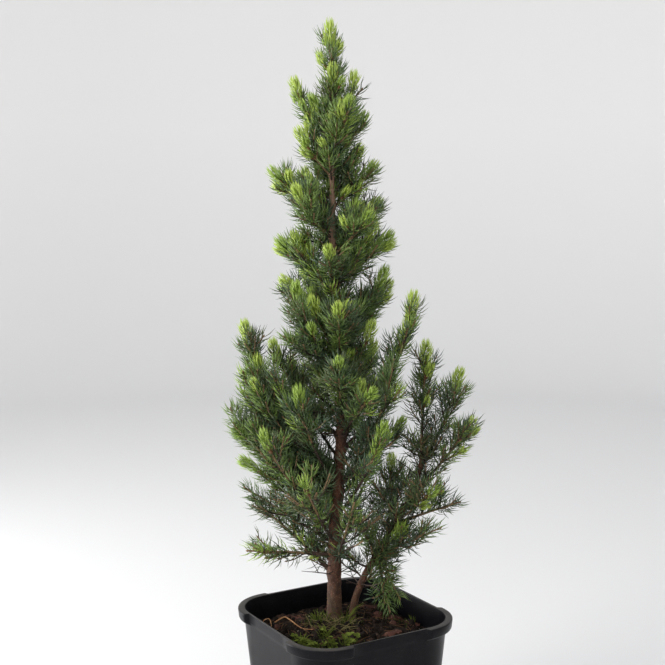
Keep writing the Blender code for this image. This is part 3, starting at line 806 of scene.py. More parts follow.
def follow_recipe(name, source, tree, finish, **values):
    """The plain mesh that a recipe makes from a source object, which is used up."""
    modifier = source.modifiers.new("recipe", "NODES")
    modifier.node_group = tree
    given = {
        item.name: item.identifier
        for item in tree.interface.items_tree
        if item.item_type == "SOCKET" and item.in_out == "INPUT"
    }
    modifier[given["Finish"]] = finish
    for label, value in values.items():
        modifier[given[label.replace("_", " ")]] = value
    graph = bpy.context.evaluated_depsgraph_get()
    mesh = bpy.data.meshes.new_from_object(source.evaluated_get(graph), depsgraph=graph)
    old = source.data
    bpy.data.objects.remove(source)
    bpy.data.meshes.remove(old)
    mesh.name = name
    mesh.materials.clear()
    mesh.materials.append(finish)
    return link_object(name, mesh)


def triangle_count(piece):
    return sum(len(polygon.vertices) - 2 for polygon in piece.data.polygons)


PIECES = []


def keep(piece, replaces=()):
    """Registers a finished piece: it rides on the plant and may stand for solids."""
    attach(piece, BODY)
    if replaces:
        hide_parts(*replaces)
    PIECES.append(piece)
    print(f"{piece.name}: {triangle_count(piece)} triangles")


# %% [markdown]
# ## Recipe: twigs
# A twig is a thin tapered rod along its line. Curve to Mesh sweeps a six-sided ring along every line in
# one go, with the radius that stands on each point, and a little noise roughens the bark.

# %% Lines as a mesh of edges


def add_lines(name, lines):
    """A mesh of open lines. Each line gives its points, radii and share of needles kept."""
    points = []
    edges = []
    values = defaultdict(list)
    for path, radii, cover in lines:
        first = len(points)
        points += [tuple(p) for p in path]
        edges += [(first + i, first + i + 1) for i in range(len(path) - 1)]
        done = 0.0
        total = length_of(path)
        for i, radius in enumerate(radii):
            done += (path[i] - path[i - 1]).length if i else 0.0
            values["size"].append(radius)
            values["along"].append(done)
            values["left"].append(total - done)
            values["cover"].append(cover)
    mesh = bpy.data.meshes.new(name)
    mesh.from_pydata(points, edges, [])
    for label, numbers in values.items():
        layer = mesh.attributes.new(label, "FLOAT", "POINT")
        layer.data.foreach_set("value", numbers)
    return link_object(name, mesh)


# %% The recipe for twigs
TWIG_SIDES = 6
ROUGHNESS_SIZE = 900  # noise cells in a metre
TWIG_ROUGHNESS = 0.28 * MM


def twig_recipe():
    tree, given = new_recipe("rods_along_lines", Finish="material")
    curve = output(tree, "GeometryNodeMeshToCurve", given["Geometry"])
    ring = output(tree, "GeometryNodeCurvePrimitiveCircle", TWIG_SIDES, 1.0, mode="RADIUS")
    rods = output(tree, "GeometryNodeCurveToMesh", curve, ring, named(tree, "size"), True)
    place = output(tree, "GeometryNodeInputPosition")
    bumps = add_node(tree, "ShaderNodeTexNoise", place, ROUGHNESS_SIZE).outputs["Fac"]
    swell = times(tree, maths(tree, "SUBTRACT", bumps, 0.5), TWIG_ROUGHNESS)
    shift = vectors(tree, "SCALE", output(tree, "GeometryNodeInputNormal"), swell)
    rough = output(tree, "GeometryNodeSetPosition", rods, None, None, shift)
    smooth = output(tree, "GeometryNodeSetShadeSmooth", rough)
    end_recipe(tree, smooth, given["Finish"])
    return tree


TWIG_RECIPE = twig_recipe()


def add_rods(name, lines, finish, replaces=()):
    """A finished piece with a thin rod along each line."""
    keep(follow_recipe(name, add_lines(name + "_lines", lines), TWIG_RECIPE, finish), replaces)

# %% [markdown]
# ## Recipe: needles
# A spruce needle is a stiff angular blade about a centimetre long, on all sides of its twig. Modelling
# them one by one is out of the question, so one needle of a few faces is set along every line, each
# turned by the golden angle from the last and leaning forwards. Near the tip they close over the bud.

# %% One needle
NEEDLE_LENGTH = 10 * MM
NEEDLE_HALF_WIDTH = 0.39 * MM
NEEDLE_HALF_THICKNESS = 0.36 * MM
NEEDLE_BEND = 1.1 * MM  # of its middle, away from the tip of the twig
NEEDLE_SIDES = 3
NEEDLE_STOPS = ((0.0, 0.55), (0.45, 1.0))  # share of the length, and of the width there


def loft(rings):
    """The points of a row of equal rings, and the faces from each ring to the next."""
    count = len(rings[0])
    faces = []
    for low in range(0, (len(rings) - 1) * count, count):
        faces += [
            (low + k, low + (k + 1) % count, low + count + (k + 1) % count, low + count + k)
            for k in range(count)
        ]
    return [point for ring in rings for point in ring], faces


def new_mesh(name, points, faces):
    mesh = bpy.data.meshes.new(name)
    mesh.from_pydata([tuple(p) for p in points], [], faces)
    return mesh


def helper_shape(name, mesh):
    """An object that only lends its mesh to a recipe."""
    made = link_object(name, mesh)
    made.hide_render = True
    return made


def add_blade(name, rings, tip):
    """A closed blade through its rings of points, that ends in a tip."""
    sides = len(rings[0])
    points, faces = loft(rings)
    last = len(points) - sides
    faces = [tuple(reversed(range(sides))), *faces]
    faces += [(last + k, last + (k + 1) % sides, last + sides) for k in range(sides)]
    mesh = new_mesh(name, points + [tip], faces)
    mesh.shade_smooth()
    return helper_shape(name, mesh)


def needle_shape(name):
    """A three-sided needle that stands up from the origin, with its middle bent towards -X."""
    rings = []
    for share, width in NEEDLE_STOPS:
        bend = -NEEDLE_BEND * sin(pi * share)
        rings.append([(
            cos(turn * tau / NEEDLE_SIDES) * NEEDLE_HALF_THICKNESS * width + bend,
            sin(turn * tau / NEEDLE_SIDES) * NEEDLE_HALF_WIDTH * width,
            NEEDLE_LENGTH * share,
        ) for turn in range(NEEDLE_SIDES)])
    return add_blade(name, rings, (0, 0, NEEDLE_LENGTH))


needle = needle_shape("needle_shape")
print("faces of one needle:", len(needle.data.polygons), "triangles:", triangle_count(needle))

# %% The recipe for needles
TURN_JITTER = 0.5  # radians
CLOSING = 7 * MM  # the stretch before a tip where the needles close in
CLOSED_LEAN = 0.4
FOOT_STRETCH = 5 * MM
FOOT_LENGTH = 0.6
SUNK = 0.7  # of the twig's radius, where a needle stands
WIDTH_VARY = (0.85, 1.15)


def needle_recipe():
    tree, given = new_recipe(
        "needles_along_lines", Finish="material", Needle="object", Spacing="float", Lean="float",
        Lean_Spread="float", Length="float", Length_Spread="float", Lift="float", End_Length="float",
        Seed="int",
    )
    some = chances(tree, given["Seed"])
    curve = output(tree, "GeometryNodeMeshToCurve", given["Geometry"])
    stops = add_node(tree, "GeometryNodeCurveToPoints", curve, given["Spacing"], mode="LENGTH")
    points, forward, side = stops.outputs["Points"], stops.outputs["Tangent"], stops.outputs["Normal"]
    index = output(tree, "GeometryNodeInputIndex")
    turn = times(tree, index, GOLDEN_ANGLE)
    turn = plus(tree, turn, some(-TURN_JITTER, TURN_JITTER, 1))
    other = vectors(tree, "CROSS_PRODUCT", forward, side)
    first = vectors(tree, "SCALE", side, maths(tree, "COSINE", turn))
    out = vectors(tree, "ADD", first, vectors(tree, "SCALE", other, maths(tree, "SINE", turn)))

    closing = ramp(tree, named(tree, "left"), 0.0, CLOSING, CLOSED_LEAN, 1.0)
    spread = times(tree, some(-1.0, 1.0, 2), given["Lean_Spread"])
    lean = times(tree, plus(tree, given["Lean"], spread), closing)
    ahead = vectors(tree, "SCALE", forward, maths(tree, "COSINE", lean))
    heading = vectors(tree, "ADD", ahead, vectors(tree, "SCALE", out, maths(tree, "SINE", lean)))
    lift = output(tree, "ShaderNodeCombineXYZ", 0.0, 0.0, given["Lift"])
    heading = vectors(tree, "ADD", heading, lift)
    rotation = output(
        tree, "FunctionNodeAxesToRotation", heading, forward, primary_axis="Z", secondary_axis="X"
    )

    foot = ramp(tree, named(tree, "along"), 0.0, FOOT_STRETCH, FOOT_LENGTH, 1.0)
    vary = plus(tree, times(tree, some(-1.0, 1.0, 3), given["Length_Spread"]), 1.0)
    ending = ramp(tree, named(tree, "left"), 0.0, CLOSING, given["End_Length"], 1.0)
    length = times(tree, times(tree, foot, ending), vary)
    length = times(tree, length, given["Length"])
    width = some(*WIDTH_VARY, 4)
    scale = output(tree, "ShaderNodeCombineXYZ", width, width, length)

    root = vectors(tree, "SCALE", out, times(tree, named(tree, "size"), SUNK))
    placed = output(tree, "GeometryNodeSetPosition", points, None, None, root)
    kept = output(
        tree, "FunctionNodeCompare", some(0.0, 1.0, 5), named(tree, "cover"), operation="LESS_THAN"
    )
    shape = add_node(tree, "GeometryNodeObjectInfo", given["Needle"]).outputs["Geometry"]
    spray = output(tree, "GeometryNodeInstanceOnPoints", placed, kept, shape, None, None, rotation, scale)
    end_recipe(tree, spray, given["Finish"])
    return tree


NEEDLE_RECIPE = needle_recipe()

# %% [markdown]
# ## Needle colours
# Old needles are dark, from blue-green to olive, this year's are a clear green, and the tufts that have
# just opened are lime. So each line is cut into spans by the age of its wood, and every span is dealt
# one plain tint. A pattern over thousands of tiny blades would only turn to noise.

# %% Tints of the needles
TINTS = {
    "lime": (0.42, 0.55, 0.090),
    "spring": (0.29, 0.42, 0.064),
    "green": (0.150, 0.235, 0.048),
    "leaf": (0.105, 0.172, 0.048),
    "olive": (0.098, 0.128, 0.044),
    "deep": (0.060, 0.098, 0.036),
    "blue": (0.064, 0.110, 0.056),
    "shade": (0.044, 0.070, 0.030),
}
NEEDLE_ROUGHNESS = 0.4
OLD_TINTS = (("deep", 0.36), ("blue", 0.28), ("olive", 0.20), ("shade", 0.16))
GREEN_TINTS = (("green", 0.55), ("leaf", 0.35), ("spring", 0.1))
FRESH_TINTS = (("lime", 0.6), ("spring", 0.4))


def plain_material(name, colour, roughness):
    made = bpy.data.materials.new(name)
    made.use_nodes = True
    shader = made.node_tree.nodes["Principled BSDF"]
    shader.inputs["Base Color"].default_value = (*colour, 1)
    shader.inputs["Roughness"].default_value = roughness
    return made


def deal(random, choices):
    """One of several names, each with its own share."""
    names, shares = zip(*choices)
    return random.choices(names, shares)[0]


needle_finish = {
    tint: plain_material(f"needles_{tint}", colour, NEEDLE_ROUGHNESS) for tint, colour in TINTS.items()
}

# %% Spans of each twig by age
LEVELS = (("low", 0), ("middle", 118), ("upper", 230))  # height of a shoot's root, mm
SPAN_FRESH = {0: 14 * MM, 1: 8 * MM, 2: 5 * MM}
SPAN_GREEN = {0: 36 * MM, 1: 12 * MM, 2: 6 * MM}
LONG_SPAN = {"right_tall": 2.6, "second_top": 1.6, "front_right": 1.8}  # much fresh growth on these
FRESH_CHANCE = {"low": (0.6, 0.10, 0.02), "middle": (1.0, 0.22, 0.04), "upper": (1.0, 0.35, 0.10)}
FRESH_VARY = (0.8, 1.2)
GREEN_VARY = (0.7, 1.3)
SMALL_FRESH = 0.2
SECOND_FRESH = 0.45
SURE_FRESH = (
    "left_tall", "left_wide", "front_low_left", "front_low", "second_top", "far_right", "right_long",
    "outer_left",
)
GREEN_CHANCE = {"low": (1.0, 0.55, 0.3), "middle": (1.0, 0.65, 0.35), "upper": (1.0, 0.85, 0.6)}
COVER = {"low": 0.86, "middle": 1.0, "upper": 0.95}
SECOND_COVER = 0.92  # the shoots of the second stem are thinner clad
THIN_COVER = {  # so are the shoots in front of the trunk's foot
    "front_lowest": 0.40, "front_low": 0.42, "front_low_left": 0.6, "front_right": 0.75,
    "low_left": 0.6, "left_second": 0.6, "right_low_front": 0.6, "right_lowest": 0.65, "right_low": 0.6,
    "back_low": 0.5, "back_low_left": 0.6, "back_low_right": 0.6, "front_star": 0.8, "right_long": 0.8,
    "low_left_inner": 0.6, "foot_left_back": 0.6, "left_third": 0.8,
}
NEEDLE_FOOT = 2.5 * MM
SCALES_BEHIND = 1.5 * MM  # the ring of bud scales, from where the fresh growth starts
SCALES_AHEAD = 1 * MM


def level_of(shoot):
    return [name for name, height in LEVELS if shoot.root >= height][-1]


def cut_line(path, radii, first, last):
    """The part of a line between two lengths along it."""
    done = 0.0
    points, sizes = [], []
    for i in range(len(path) - 1):
        step = path[i + 1] - path[i]
        low, high = max(first, done), min(last, done + step.length)
        if high > low:
            for place in (low, high):
                share = (place - done) / step.length
                point = path[i] + step * share
                if not points or (point - points[-1]).length > CLEAR / 10:
                    points.append(point)
                    sizes.append(radii[i] + (radii[i + 1] - radii[i]) * share)
        done += step.length
    return points, sizes


def bare_foot(twig):
    """How much of a twig's foot has no needles: on a leading shoot, the part inside its carrier."""
    if twig.rank or twig.shoot.bare or twig.shoot in SMALL_SHOOTS:
        return NEEDLE_FOOT
    first, _ = stem_ends(twig.shoot)
    return length_of(shoot_path(twig.shoot, 0, first, TWIG_STEP)) + NEEDLE_FOOT


spans = defaultdict(list)  # lines by level, age and tint
collars = defaultdict(list)
fresh_lengths = []
random = Random(f"ages {SEED}")
for twig in twigs:
    level = level_of(twig.shoot)
    total = length_of(twig.path)
    foot = bare_foot(twig)
    likely = FRESH_CHANCE[level][twig.rank]
    if level == "low" and twig.shoot in SMALL_SHOOTS:
        likely *= SMALL_FRESH
    elif twig.shoot.carrier == "second":
        likely *= SECOND_FRESH
    if twig.rank == 0 and twig.shoot.name in SURE_FRESH:
        likely = 1
    is_fresh = random.random() < likely and twig.shoot.tip > twig.shoot.root
    is_green = is_fresh or random.random() < GREEN_CHANCE[level][twig.rank]
    fresh = SPAN_FRESH[twig.rank] * random.uniform(*FRESH_VARY) * is_fresh
    fresh *= LONG_SPAN.get(twig.shoot.name, 1) if twig.rank == 0 else 1
    fresh_lengths.append(fresh)
    green = SPAN_GREEN[twig.rank] * random.uniform(*GREEN_VARY) * is_green
    fresh_from = max(total - fresh, foot)
    green_from = max(fresh_from - green, foot)
    for age, choices, low, high in (
        ("old", OLD_TINTS, foot, green_from),
        ("green", GREEN_TINTS, green_from, fresh_from),
        ("fresh", FRESH_TINTS, fresh_from, total),
    ):
        tint = deal(random, choices)
        points, sizes = cut_line(twig.path, twig.radii, low, high)
        if len(points) > 1:
            cover = COVER[level] if age == "old" else 1.0
            cover *= SECOND_COVER if twig.shoot.carrier == "second" and age != "fresh" else 1.0
            cover *= THIN_COVER.get(twig.shoot.name, 1.0)
            spans[level, age, tint].append((points, sizes, cover))
    if fresh:
        ring = fresh_from - SCALES_BEHIND, fresh_from + SCALES_AHEAD
        collars[level].append(cut_line(twig.path, twig.radii, *ring))
for key, lines in sorted(spans.items()):
    print(key, len(lines), "spans,", round(sum(length_of(line[0]) for line in lines), 2), "m")

# %% [markdown]
# ## Needles of each age
# Old needles stand well out from the twig, green ones lean forwards, and a fresh tuft is half closed and
# crowded like a brush. One recipe makes them all, with other inputs for each age. A piece holds the
# needles of one age, tint and level, so that there are few pieces and none is too large.

# %% Needles along every span
NeedleWear = namedtuple("NeedleWear", "Spacing Lean Lean_Spread Length Length_Spread Lift End_Length")
WEAR = {
    "old": NeedleWear(0.50 * MM, radians(64), radians(14), 1.20, 0.14, 0.28, 0.85),
    "green": NeedleWear(0.41 * MM, radians(53), radians(12), 1.18, 0.12, 0.22, 0.8),
    "fresh": NeedleWear(0.19 * MM, radians(33), radians(10), 0.96, 0.12, 0.08, 0.6),
}
masses = {
    level: [shoot.name + "_foliage" for shoot in SHOOTS if level_of(shoot) == level] for level, _ in LEVELS
}
for number, ((level, age, tint), lines) in enumerate(sorted(spans.items())):
    name = f"{age}_needles_{tint}_{level}"
    source = add_lines(name + "_lines", lines)
    piece = follow_recipe(
        name, source, NEEDLE_RECIPE, needle_finish[tint], Needle=needle, Seed=SEED + 10 * number,
        **WEAR[age]._asdict(),
    )
    keep(piece, masses[level])

# %% [markdown]
# ## Twig bark and buds
# A twig is dull brown where it is old and tan where it is young. It ends in a small round bud, or has a
# ring of brown scales where a fresh tuft has pushed out. Buds and rings could be shapes of their own,
# but as changes of radius along the twigs' lines they come out of the same recipe.

# %% Twigs of each level
OLD_TWIG = (0.050, 0.030, 0.021)
YOUNG_TWIG = (0.20, 0.125, 0.062)
BUD_SCALE = (0.16, 0.068, 0.03)
FRESH_TWIG_SHARE = 0.35  # how far the wood reaches into a fresh tuft
YOUNG_LENGTH = {0: 42 * MM, 1: 14 * MM, 2: 6 * MM}
BUD_STOPS = ((0.5, 1.45), (1.0, 1.35), (1.6, 0.8), (2.1, 0.15))  # mm on, share of the tip radius
SCALES_SWELL = 1.9
old_bark = plain_material("old_twig_bark", OLD_TWIG, 0.8)
young_bark = plain_material("young_twig_bark", YOUNG_TWIG, 0.7)
scale_finish = plain_material("bud_scales", BUD_SCALE, 0.6)


def with_bud(points, sizes):
    """A twig's end with its small round bud."""
    ahead = (points[-1] - points[-2]).normalized()
    tip, size = points[-1], sizes[-1]
    for on, share in BUD_STOPS:
        points.append(tip + ahead * on * MM)
        sizes.append(size * share)
    return points, sizes


for level, _ in LEVELS:
    old_lines, young_lines = [], []
    for number, twig in enumerate(twigs):
        if level_of(twig.shoot) != level:
            continue
        total = length_of(twig.path)
        split = max(total - YOUNG_LENGTH[twig.rank], 0.0)
        old_part = cut_line(twig.path, twig.radii, 0.0, split)
        if len(old_part[0]) > 1:
            old_lines.append((*old_part, 1.0))
        end = total - (1 - FRESH_TWIG_SHARE) * fresh_lengths[number]
        young_part = cut_line(twig.path, twig.radii, split, end)
        if len(young_part[0]) > 1:
            young_lines.append((*(young_part if fresh_lengths[number] else with_bud(*young_part)), 1.0))
    add_rods(f"old_twigs_{level}", old_lines, old_bark, masses[level])
    add_rods(f"young_twigs_{level}", young_lines, young_bark, masses[level])
    lines = [
        (points, [size * SCALES_SWELL for size in sizes], 1.0)
        for points, sizes in collars[level]
        if len(points) > 1
    ]
    add_rods(f"bud_scales_{level}", lines, scale_finish)

# %% [markdown]
# ## Dead twigs
# Inside the crown thin bare twigs are left. A straight cone would look like a nail, so each one is a line
# whose direction drifts a little at every step, with a fork half way.

# %% Dead twigs inside the crown
DEAD_COUNT = 46
DEAD_HEIGHTS = (20, 170)  # mm above the soil
DEAD_LENGTH = (12, 40)  # mm
DEAD_RADIUS = 0.5 * MM
DEAD_TIP = 0.22 * MM
DEAD_SWAY = 0.12
DEAD_STEPS = 6
DEAD_RISE = (-0.1, 0.5)
DEAD_ON_SECOND = 0.25  # share of them on the second stem
SECOND_HEIGHTS = 0.7  # their heights there, as a share of those on the trunk
FORK_SPREAD = 0.8
FORK_LENGTH = 0.4  # shares of the twig's length and tip radius
FORK_RADIUS = 1.5


def dead_twig(root, heading, length, random):
    """A thin bare twig that wanders a little on its way."""
    path = [root]
    for _ in range(DEAD_STEPS):
        heading = (heading + any_way(random, DEAD_SWAY)).normalized()
        path.append(path[-1] + heading * length / DEAD_STEPS)
    return path, heading


random = Random(f"dead {SEED}")
lines = []
for _ in range(DEAD_COUNT):
    name = "second" if random.random() < DEAD_ON_SECOND else "trunk"
    height = random.uniform(*DEAD_HEIGHTS) * (SECOND_HEIGHTS if name == "second" else 1) * MM
    heading = (outward(random.uniform(0, tau)) + UP * random.uniform(*DEAD_RISE)).normalized()
    length = random.uniform(*DEAD_LENGTH) * MM
    path, ahead = dead_twig(CARRIERS[name].axis(height), heading, length, random)
    lines.append((path, tapered(path, DEAD_RADIUS, DEAD_TIP), 1.0))
    fork = (ahead + any_way(random, FORK_SPREAD)).normalized()
    path, _ = dead_twig(path[DEAD_STEPS // 2], fork, length * FORK_LENGTH, random)
    lines.append((path, tapered(path, DEAD_TIP * FORK_RADIUS, DEAD_TIP), 1.0))
add_rods("dead_twigs", lines, old_bark)

# %% [markdown]
# ## Bark relief on the stems
# Spruce bark is made of small plates that lift at their edges, and it swells into a collar where a bough
# leaves. Bump alone would leave the outline smooth, so rings are swept along the axis, and each point is
# pushed out by cell noise that is stretched up and down the stem.

# %% Swept stems with relief
PLATE_WIDTH = 2.4 * MM
PLATE_HEIGHT = 5.0 * MM
PLATE_WARP = (0.7, 0.5)  # noise cells in a plate, and shift in plates
CRACK_WIDTH = 0.22  # of a plate
PLATE_TILT = (0.9, 0.6)  # noise cells in a plate, and share of the depth
BARK_GRAIN = (3.1, 0.35)
STEM_SINK = 2.0 * MM  # the foot goes this far into the soil
SHARP_ANGLE = radians(50)


def plates(point, depth):
    """Bark relief at a point: lifted plates with cracks between them, and fine grain."""
    place = Vector((point.x / PLATE_WIDTH, point.y / PLATE_WIDTH, point.z / PLATE_HEIGHT))
    place += noise.noise_vector(place * PLATE_WARP[0]) * PLATE_WARP[1]
    nearest, second = noise.voronoi(place)[0][:2]
    crack = min((second - nearest) / CRACK_WIDTH, 1)
    tilt = noise.noise(place * PLATE_TILT[0]) * PLATE_TILT[1]
    grain = noise.fractal(place * BARK_GRAIN[0], 0.8, 2.1, 3) * BARK_GRAIN[1]
    return depth * (crack - 0.5 + tilt + grain)


def add_shell(name, points, faces, smooth=True):
    """A mesh object with its faces turned outwards."""
    mesh = new_mesh(name, points, faces)
    work = bmesh.new()
    work.from_mesh(mesh)
    bmesh.ops.recalc_face_normals(work, faces=work.faces)
    work.to_mesh(mesh)
    work.free()
    if smooth:
        mesh.shade_smooth()
        mesh.set_sharp_from_angle(angle=SHARP_ANGLE)
    return link_object(name, mesh)


def add_loft(name, rings):
    """A closed shell through rings of equal count."""
    count = len(rings[0])
    points, faces = loft(rings)
    caps = [tuple(range(count)), tuple(range(len(points) - count, len(points)))]
    return add_shell(name, points, faces + caps)


def add_stem(name, path, radii, sides, depths, bumps=()):
    """A closed tube along a path with bark relief. bumps are (centre, rise, size) swellings."""
    side = Vector((0, 1, 0))
    rings = []
    for centre, forward, radius, depth in zip(path, tangents(path), radii, depths):
        across = (side - forward * side.dot(forward)).normalized()
        other = forward.cross(across)
        ring = []
        for i in range(sides):
            way = across * cos(i * tau / sides) + other * sin(i * tau / sides)
            point = centre + way * radius
            swell = sum(rise * exp(-((point - place).length / size) ** 2) for place, rise, size in bumps)
            ring.append(point + way * (plates(point, depth) + swell))
        rings.append(ring)
    return add_loft(name, rings)


# %% Trunk, second stem and boughs
TRUNK_SIDES = 36
TRUNK_STEP = 1.1 * MM
SECOND_SIDES = 22
BOUGH_SIDES = 16
TRUNK_RELIEF = 0.55 * MM
TOP_RELIEF = 0.35  # the share of the relief that a thin stem keeps
COLLAR_RISE = 1.1 * MM
SECOND_COLLAR_RISE = 0.77 * MM
COLLAR_SIZE = 3.2 * MM
COLLAR_LIFT = 1.5 * MM
KNOT_COUNT = 60  # scars of old twigs on the trunk
KNOT_RISE = (0.3 * MM, 0.9 * MM)
KNOT_SIZE = 1.3 * MM
KNOT_TOP = 0.75  # of the trunk's height
SECOND_RELIEF = 0.26 * MM
BOUGH_RELIEF = 0.13 * MM
BOUGH_FOOT_SWELL = 0.3


def shoot_collars(carrier, rise):
    """A swelling on a stem where each of its shoots leaves it."""
    bumps = []
    for shoot in SHOOTS:
        if shoot.carrier == carrier and shoot.root * MM < CARRIERS[carrier].top:
            height = shoot.root * MM + COLLAR_LIFT
            centre = CARRIERS[carrier].axis(height)
            out = outward(radians(shoot.turn)) * CARRIERS[carrier].radius(height)
            bumps.append((centre + out, rise, COLLAR_SIZE))
    return bumps


def knots(random):
    """Small swellings all over the trunk, where twigs have died off."""
    bumps = []
    for i in range(KNOT_COUNT):
        height = TRUNK_TOP * KNOT_TOP * (i + random.random()) / KNOT_COUNT
        out = outward(i * GOLDEN_ANGLE) * trunk_radius(height)
        bumps.append((trunk_axis(height) + out, random.uniform(*KNOT_RISE), KNOT_SIZE))
    return bumps


path, radii = carrier_line(CARRIERS["trunk"], TRUNK_STEP, -STEM_SINK)
depths = [TRUNK_RELIEF * (TOP_RELIEF + (1 - TOP_RELIEF) * radius / TRUNK_RADIUS) for radius in radii]
swellings = shoot_collars("trunk", COLLAR_RISE) + knots(Random(f"knots {SEED}"))
trunk = add_stem("trunk_bark", path, radii, TRUNK_SIDES, depths, swellings)
for vertex in trunk.data.vertices:
    above = vertex.co.z - GROUND
    from_axis = Vector((vertex.co.x - FOOT.x, vertex.co.y - FOOT.y, 0))
    lobe = FLARE * LOBE_SHARE * exp(-max(above, 0) / FLARE_HEIGHT)
    vertex.co += from_axis.normalized() * lobe * cos(FLARE_LOBES * atan2(from_axis.y, from_axis.x))

path, radii = carrier_line(CARRIERS["second"], TRUNK_STEP, -STEM_SINK)
depths = [SECOND_RELIEF * radius / SECOND_RADIUS for radius in radii]
second_stem = add_stem(
    "second_stem_bark", path, radii, SECOND_SIDES, depths, shoot_collars("second", SECOND_COLLAR_RISE)
)

boughs = {}
for shoot in SHOOTS:
    if shoot.bare:
        path = shoot_path(shoot, 0, shoot.bare, MM)
        radii = tapered(path, BOUGH_ROOT_RADIUS, BOUGH_TIP_RADIUS)
        foot = CARRIERS[shoot.carrier].radius(shoot.root * MM)
        radii = [
            radius * (1 + BOUGH_FOOT_SWELL * exp(-(((point - path[0]).length - foot) / (2 * foot)) ** 2))
            for point, radius in zip(path, radii)
        ]
        name = shoot.name + "_bough_bark"
        boughs[shoot.name] = add_stem(name, path, radii, BOUGH_SIDES, [BOUGH_RELIEF] * len(path))
print("relief meshes:", 2 + len(boughs))

# %% [markdown]
# ## Bark colour
# The trunk is orange-brown with dark cracks and pale flecks, duller at its foot, where algae grow, and
# pinker near the top, where the bark is young. Cell noise gives the plates and the height gives the slow
# change, both in Object coordinates, so that the pattern stays on the stem from every side.

# %% Bark material
BARK_DARK = (0.026, 0.014, 0.009)
BARK_WARM = (0.215, 0.082, 0.042)
BARK_FLECK = (0.29, 0.18, 0.115)
BARK_ALGAE = (0.045, 0.036, 0.014)
BARK_YOUNG = (0.33, 0.205, 0.14)
BOUGH_WARM = (0.080, 0.042, 0.027)
BOUGH_FLECK = (0.15, 0.095, 0.065)
GRAIN_CELLS = (700, 700, 260)  # in a metre, along x, y and z
PLATE_CELLS = (420, 420, 190)
FLECK_CELLS = (800, 800, 900)
MOTTLE_CELLS = (170, 170, 110)
ALGAE_CELLS = 160.0
ALGAE_HEIGHTS = (GROUND + 3 * MM, GROUND + 30 * MM)  # from full to none
YOUNG_HEIGHTS = (GROUND + 120 * MM, GROUND + 300 * MM)  # from none to full


def new_material(name, roughness):
    """A material, its tree, its shader and the Object coordinates of the piece."""
    made = bpy.data.materials.new(name)
    made.use_nodes = True
    tree = made.node_tree
    shader = tree.nodes["Principled BSDF"]
    shader.inputs["Roughness"].default_value = roughness
    return made, tree, shader, add_node(tree, "ShaderNodeTexCoord").outputs["Object"]


def stretched(tree, place, x, y, z):
    """The place with each axis scaled, in cells per metre."""
    made = add_node(tree, "ShaderNodeMapping", place, vector_type="POINT")
    made.inputs["Scale"].default_value = (x, y, z)
    return made.outputs[0]


def noise_at(tree, place, scale=1.0, detail=4.0, roughness=0.55):
    return add_node(tree, "ShaderNodeTexNoise", place, scale, detail, roughness).outputs["Fac"]


def add_bump(tree, shader, height, strength, distance):
    bump = tree.nodes.new("ShaderNodeBump")
    bump.inputs["Strength"].default_value = strength
    bump.inputs["Distance"].default_value = distance
    tree.links.new(height, bump.inputs["Height"])
    tree.links.new(bump.outputs[0], shader.inputs["Normal"])


def bark_material(name, warm=BARK_WARM, fleck=BARK_FLECK, algae=True):
    made, tree, shader, place = new_material(name, 0.82)
    grain = noise_at(tree, stretched(tree, place, *GRAIN_CELLS), 1.0, 5.0)
    cells = add_node(
        tree, "ShaderNodeTexVoronoi", stretched(tree, place, *PLATE_CELLS), feature="DISTANCE_TO_EDGE"
    ).outputs["Distance"]
    inside = ramp(tree, cells, 0.0, CRACK_WIDTH, 0.0, 0.55)
    plate = plus(tree, inside, ramp(tree, grain, 0.3, 0.7, 0.0, 0.5))
    colour = blend_colours(tree, plate, BARK_DARK, warm)
    flecks = noise_at(tree, stretched(tree, place, *FLECK_CELLS))
    colour = blend_colours(tree, ramp(tree, flecks, 0.58, 0.66, 0.0, 0.85), colour, fleck)
    mottle = noise_at(tree, stretched(tree, place, *MOTTLE_CELLS), 1.0, 3.0)
    colour = blend_colours(tree, ramp(tree, mottle, 0.44, 0.60, 0.0, 0.65), colour, BARK_DARK)
    height = add_node(tree, "ShaderNodeSeparateXYZ", place).outputs["Z"]
    if algae:
        colour = blend_colours(tree, ramp(tree, height, *YOUNG_HEIGHTS, 0.0, 0.8), colour, BARK_YOUNG)
        patches = ramp(tree, noise_at(tree, place, ALGAE_CELLS), 0.35, 0.6, 0.3, 1.0)
        low = times(tree, ramp(tree, height, *ALGAE_HEIGHTS, 0.9, 0.0), patches)
        colour = blend_colours(tree, low, colour, BARK_ALGAE)
    tree.links.new(colour, shader.inputs["Base Color"])
    add_bump(tree, shader, plate, 0.7, 0.25 * MM)
    return made


stem_bark = bark_material("stem_bark")
bough_finish = bark_material("bough_bark", BOUGH_WARM, BOUGH_FLECK, algae=False)
for piece, finish in ((trunk, stem_bark), (second_stem, stem_bark)):
    piece.data.materials.append(finish)
keep(trunk, ["trunk"])
keep(second_stem, ["second_stem"])
for name, piece in boughs.items():
    piece.data.materials.append(bough_finish)
    keep(piece, [name + "_bough"])

# %% [markdown]
# ## Pot
# The pot is a thin moulded shell: a square with round corners that tapers to its base, under a rim that
# stands out at the corners and is cut back in the middle of each side. One closed profile is carried
# round one outline. Both are the formulas of the solid with more points, for rounded edges and ramps.

# %% Outline and profile of the pot
CORNER_STEPS = 14
RAMP_STEPS = 5
GRIP_STEPS = 6
LIP_ROUND = 1.1 * MM
INNER_ROUND = 0.6 * MM
ARC_STEPS = 4
FLOOR_ROUND = 3 * MM
WALL_STOPS = (0.15, 0.35, 0.6, 0.85)  # shares of the height, up the outside
INNER_STOPS = (0.9, 0.6, 0.3)  # and down inside


def arc_steps(steps=ARC_STEPS):
    """Angles from 0 to a quarter turn."""
    return [i * pi / 2 / steps for i in range(steps + 1)]


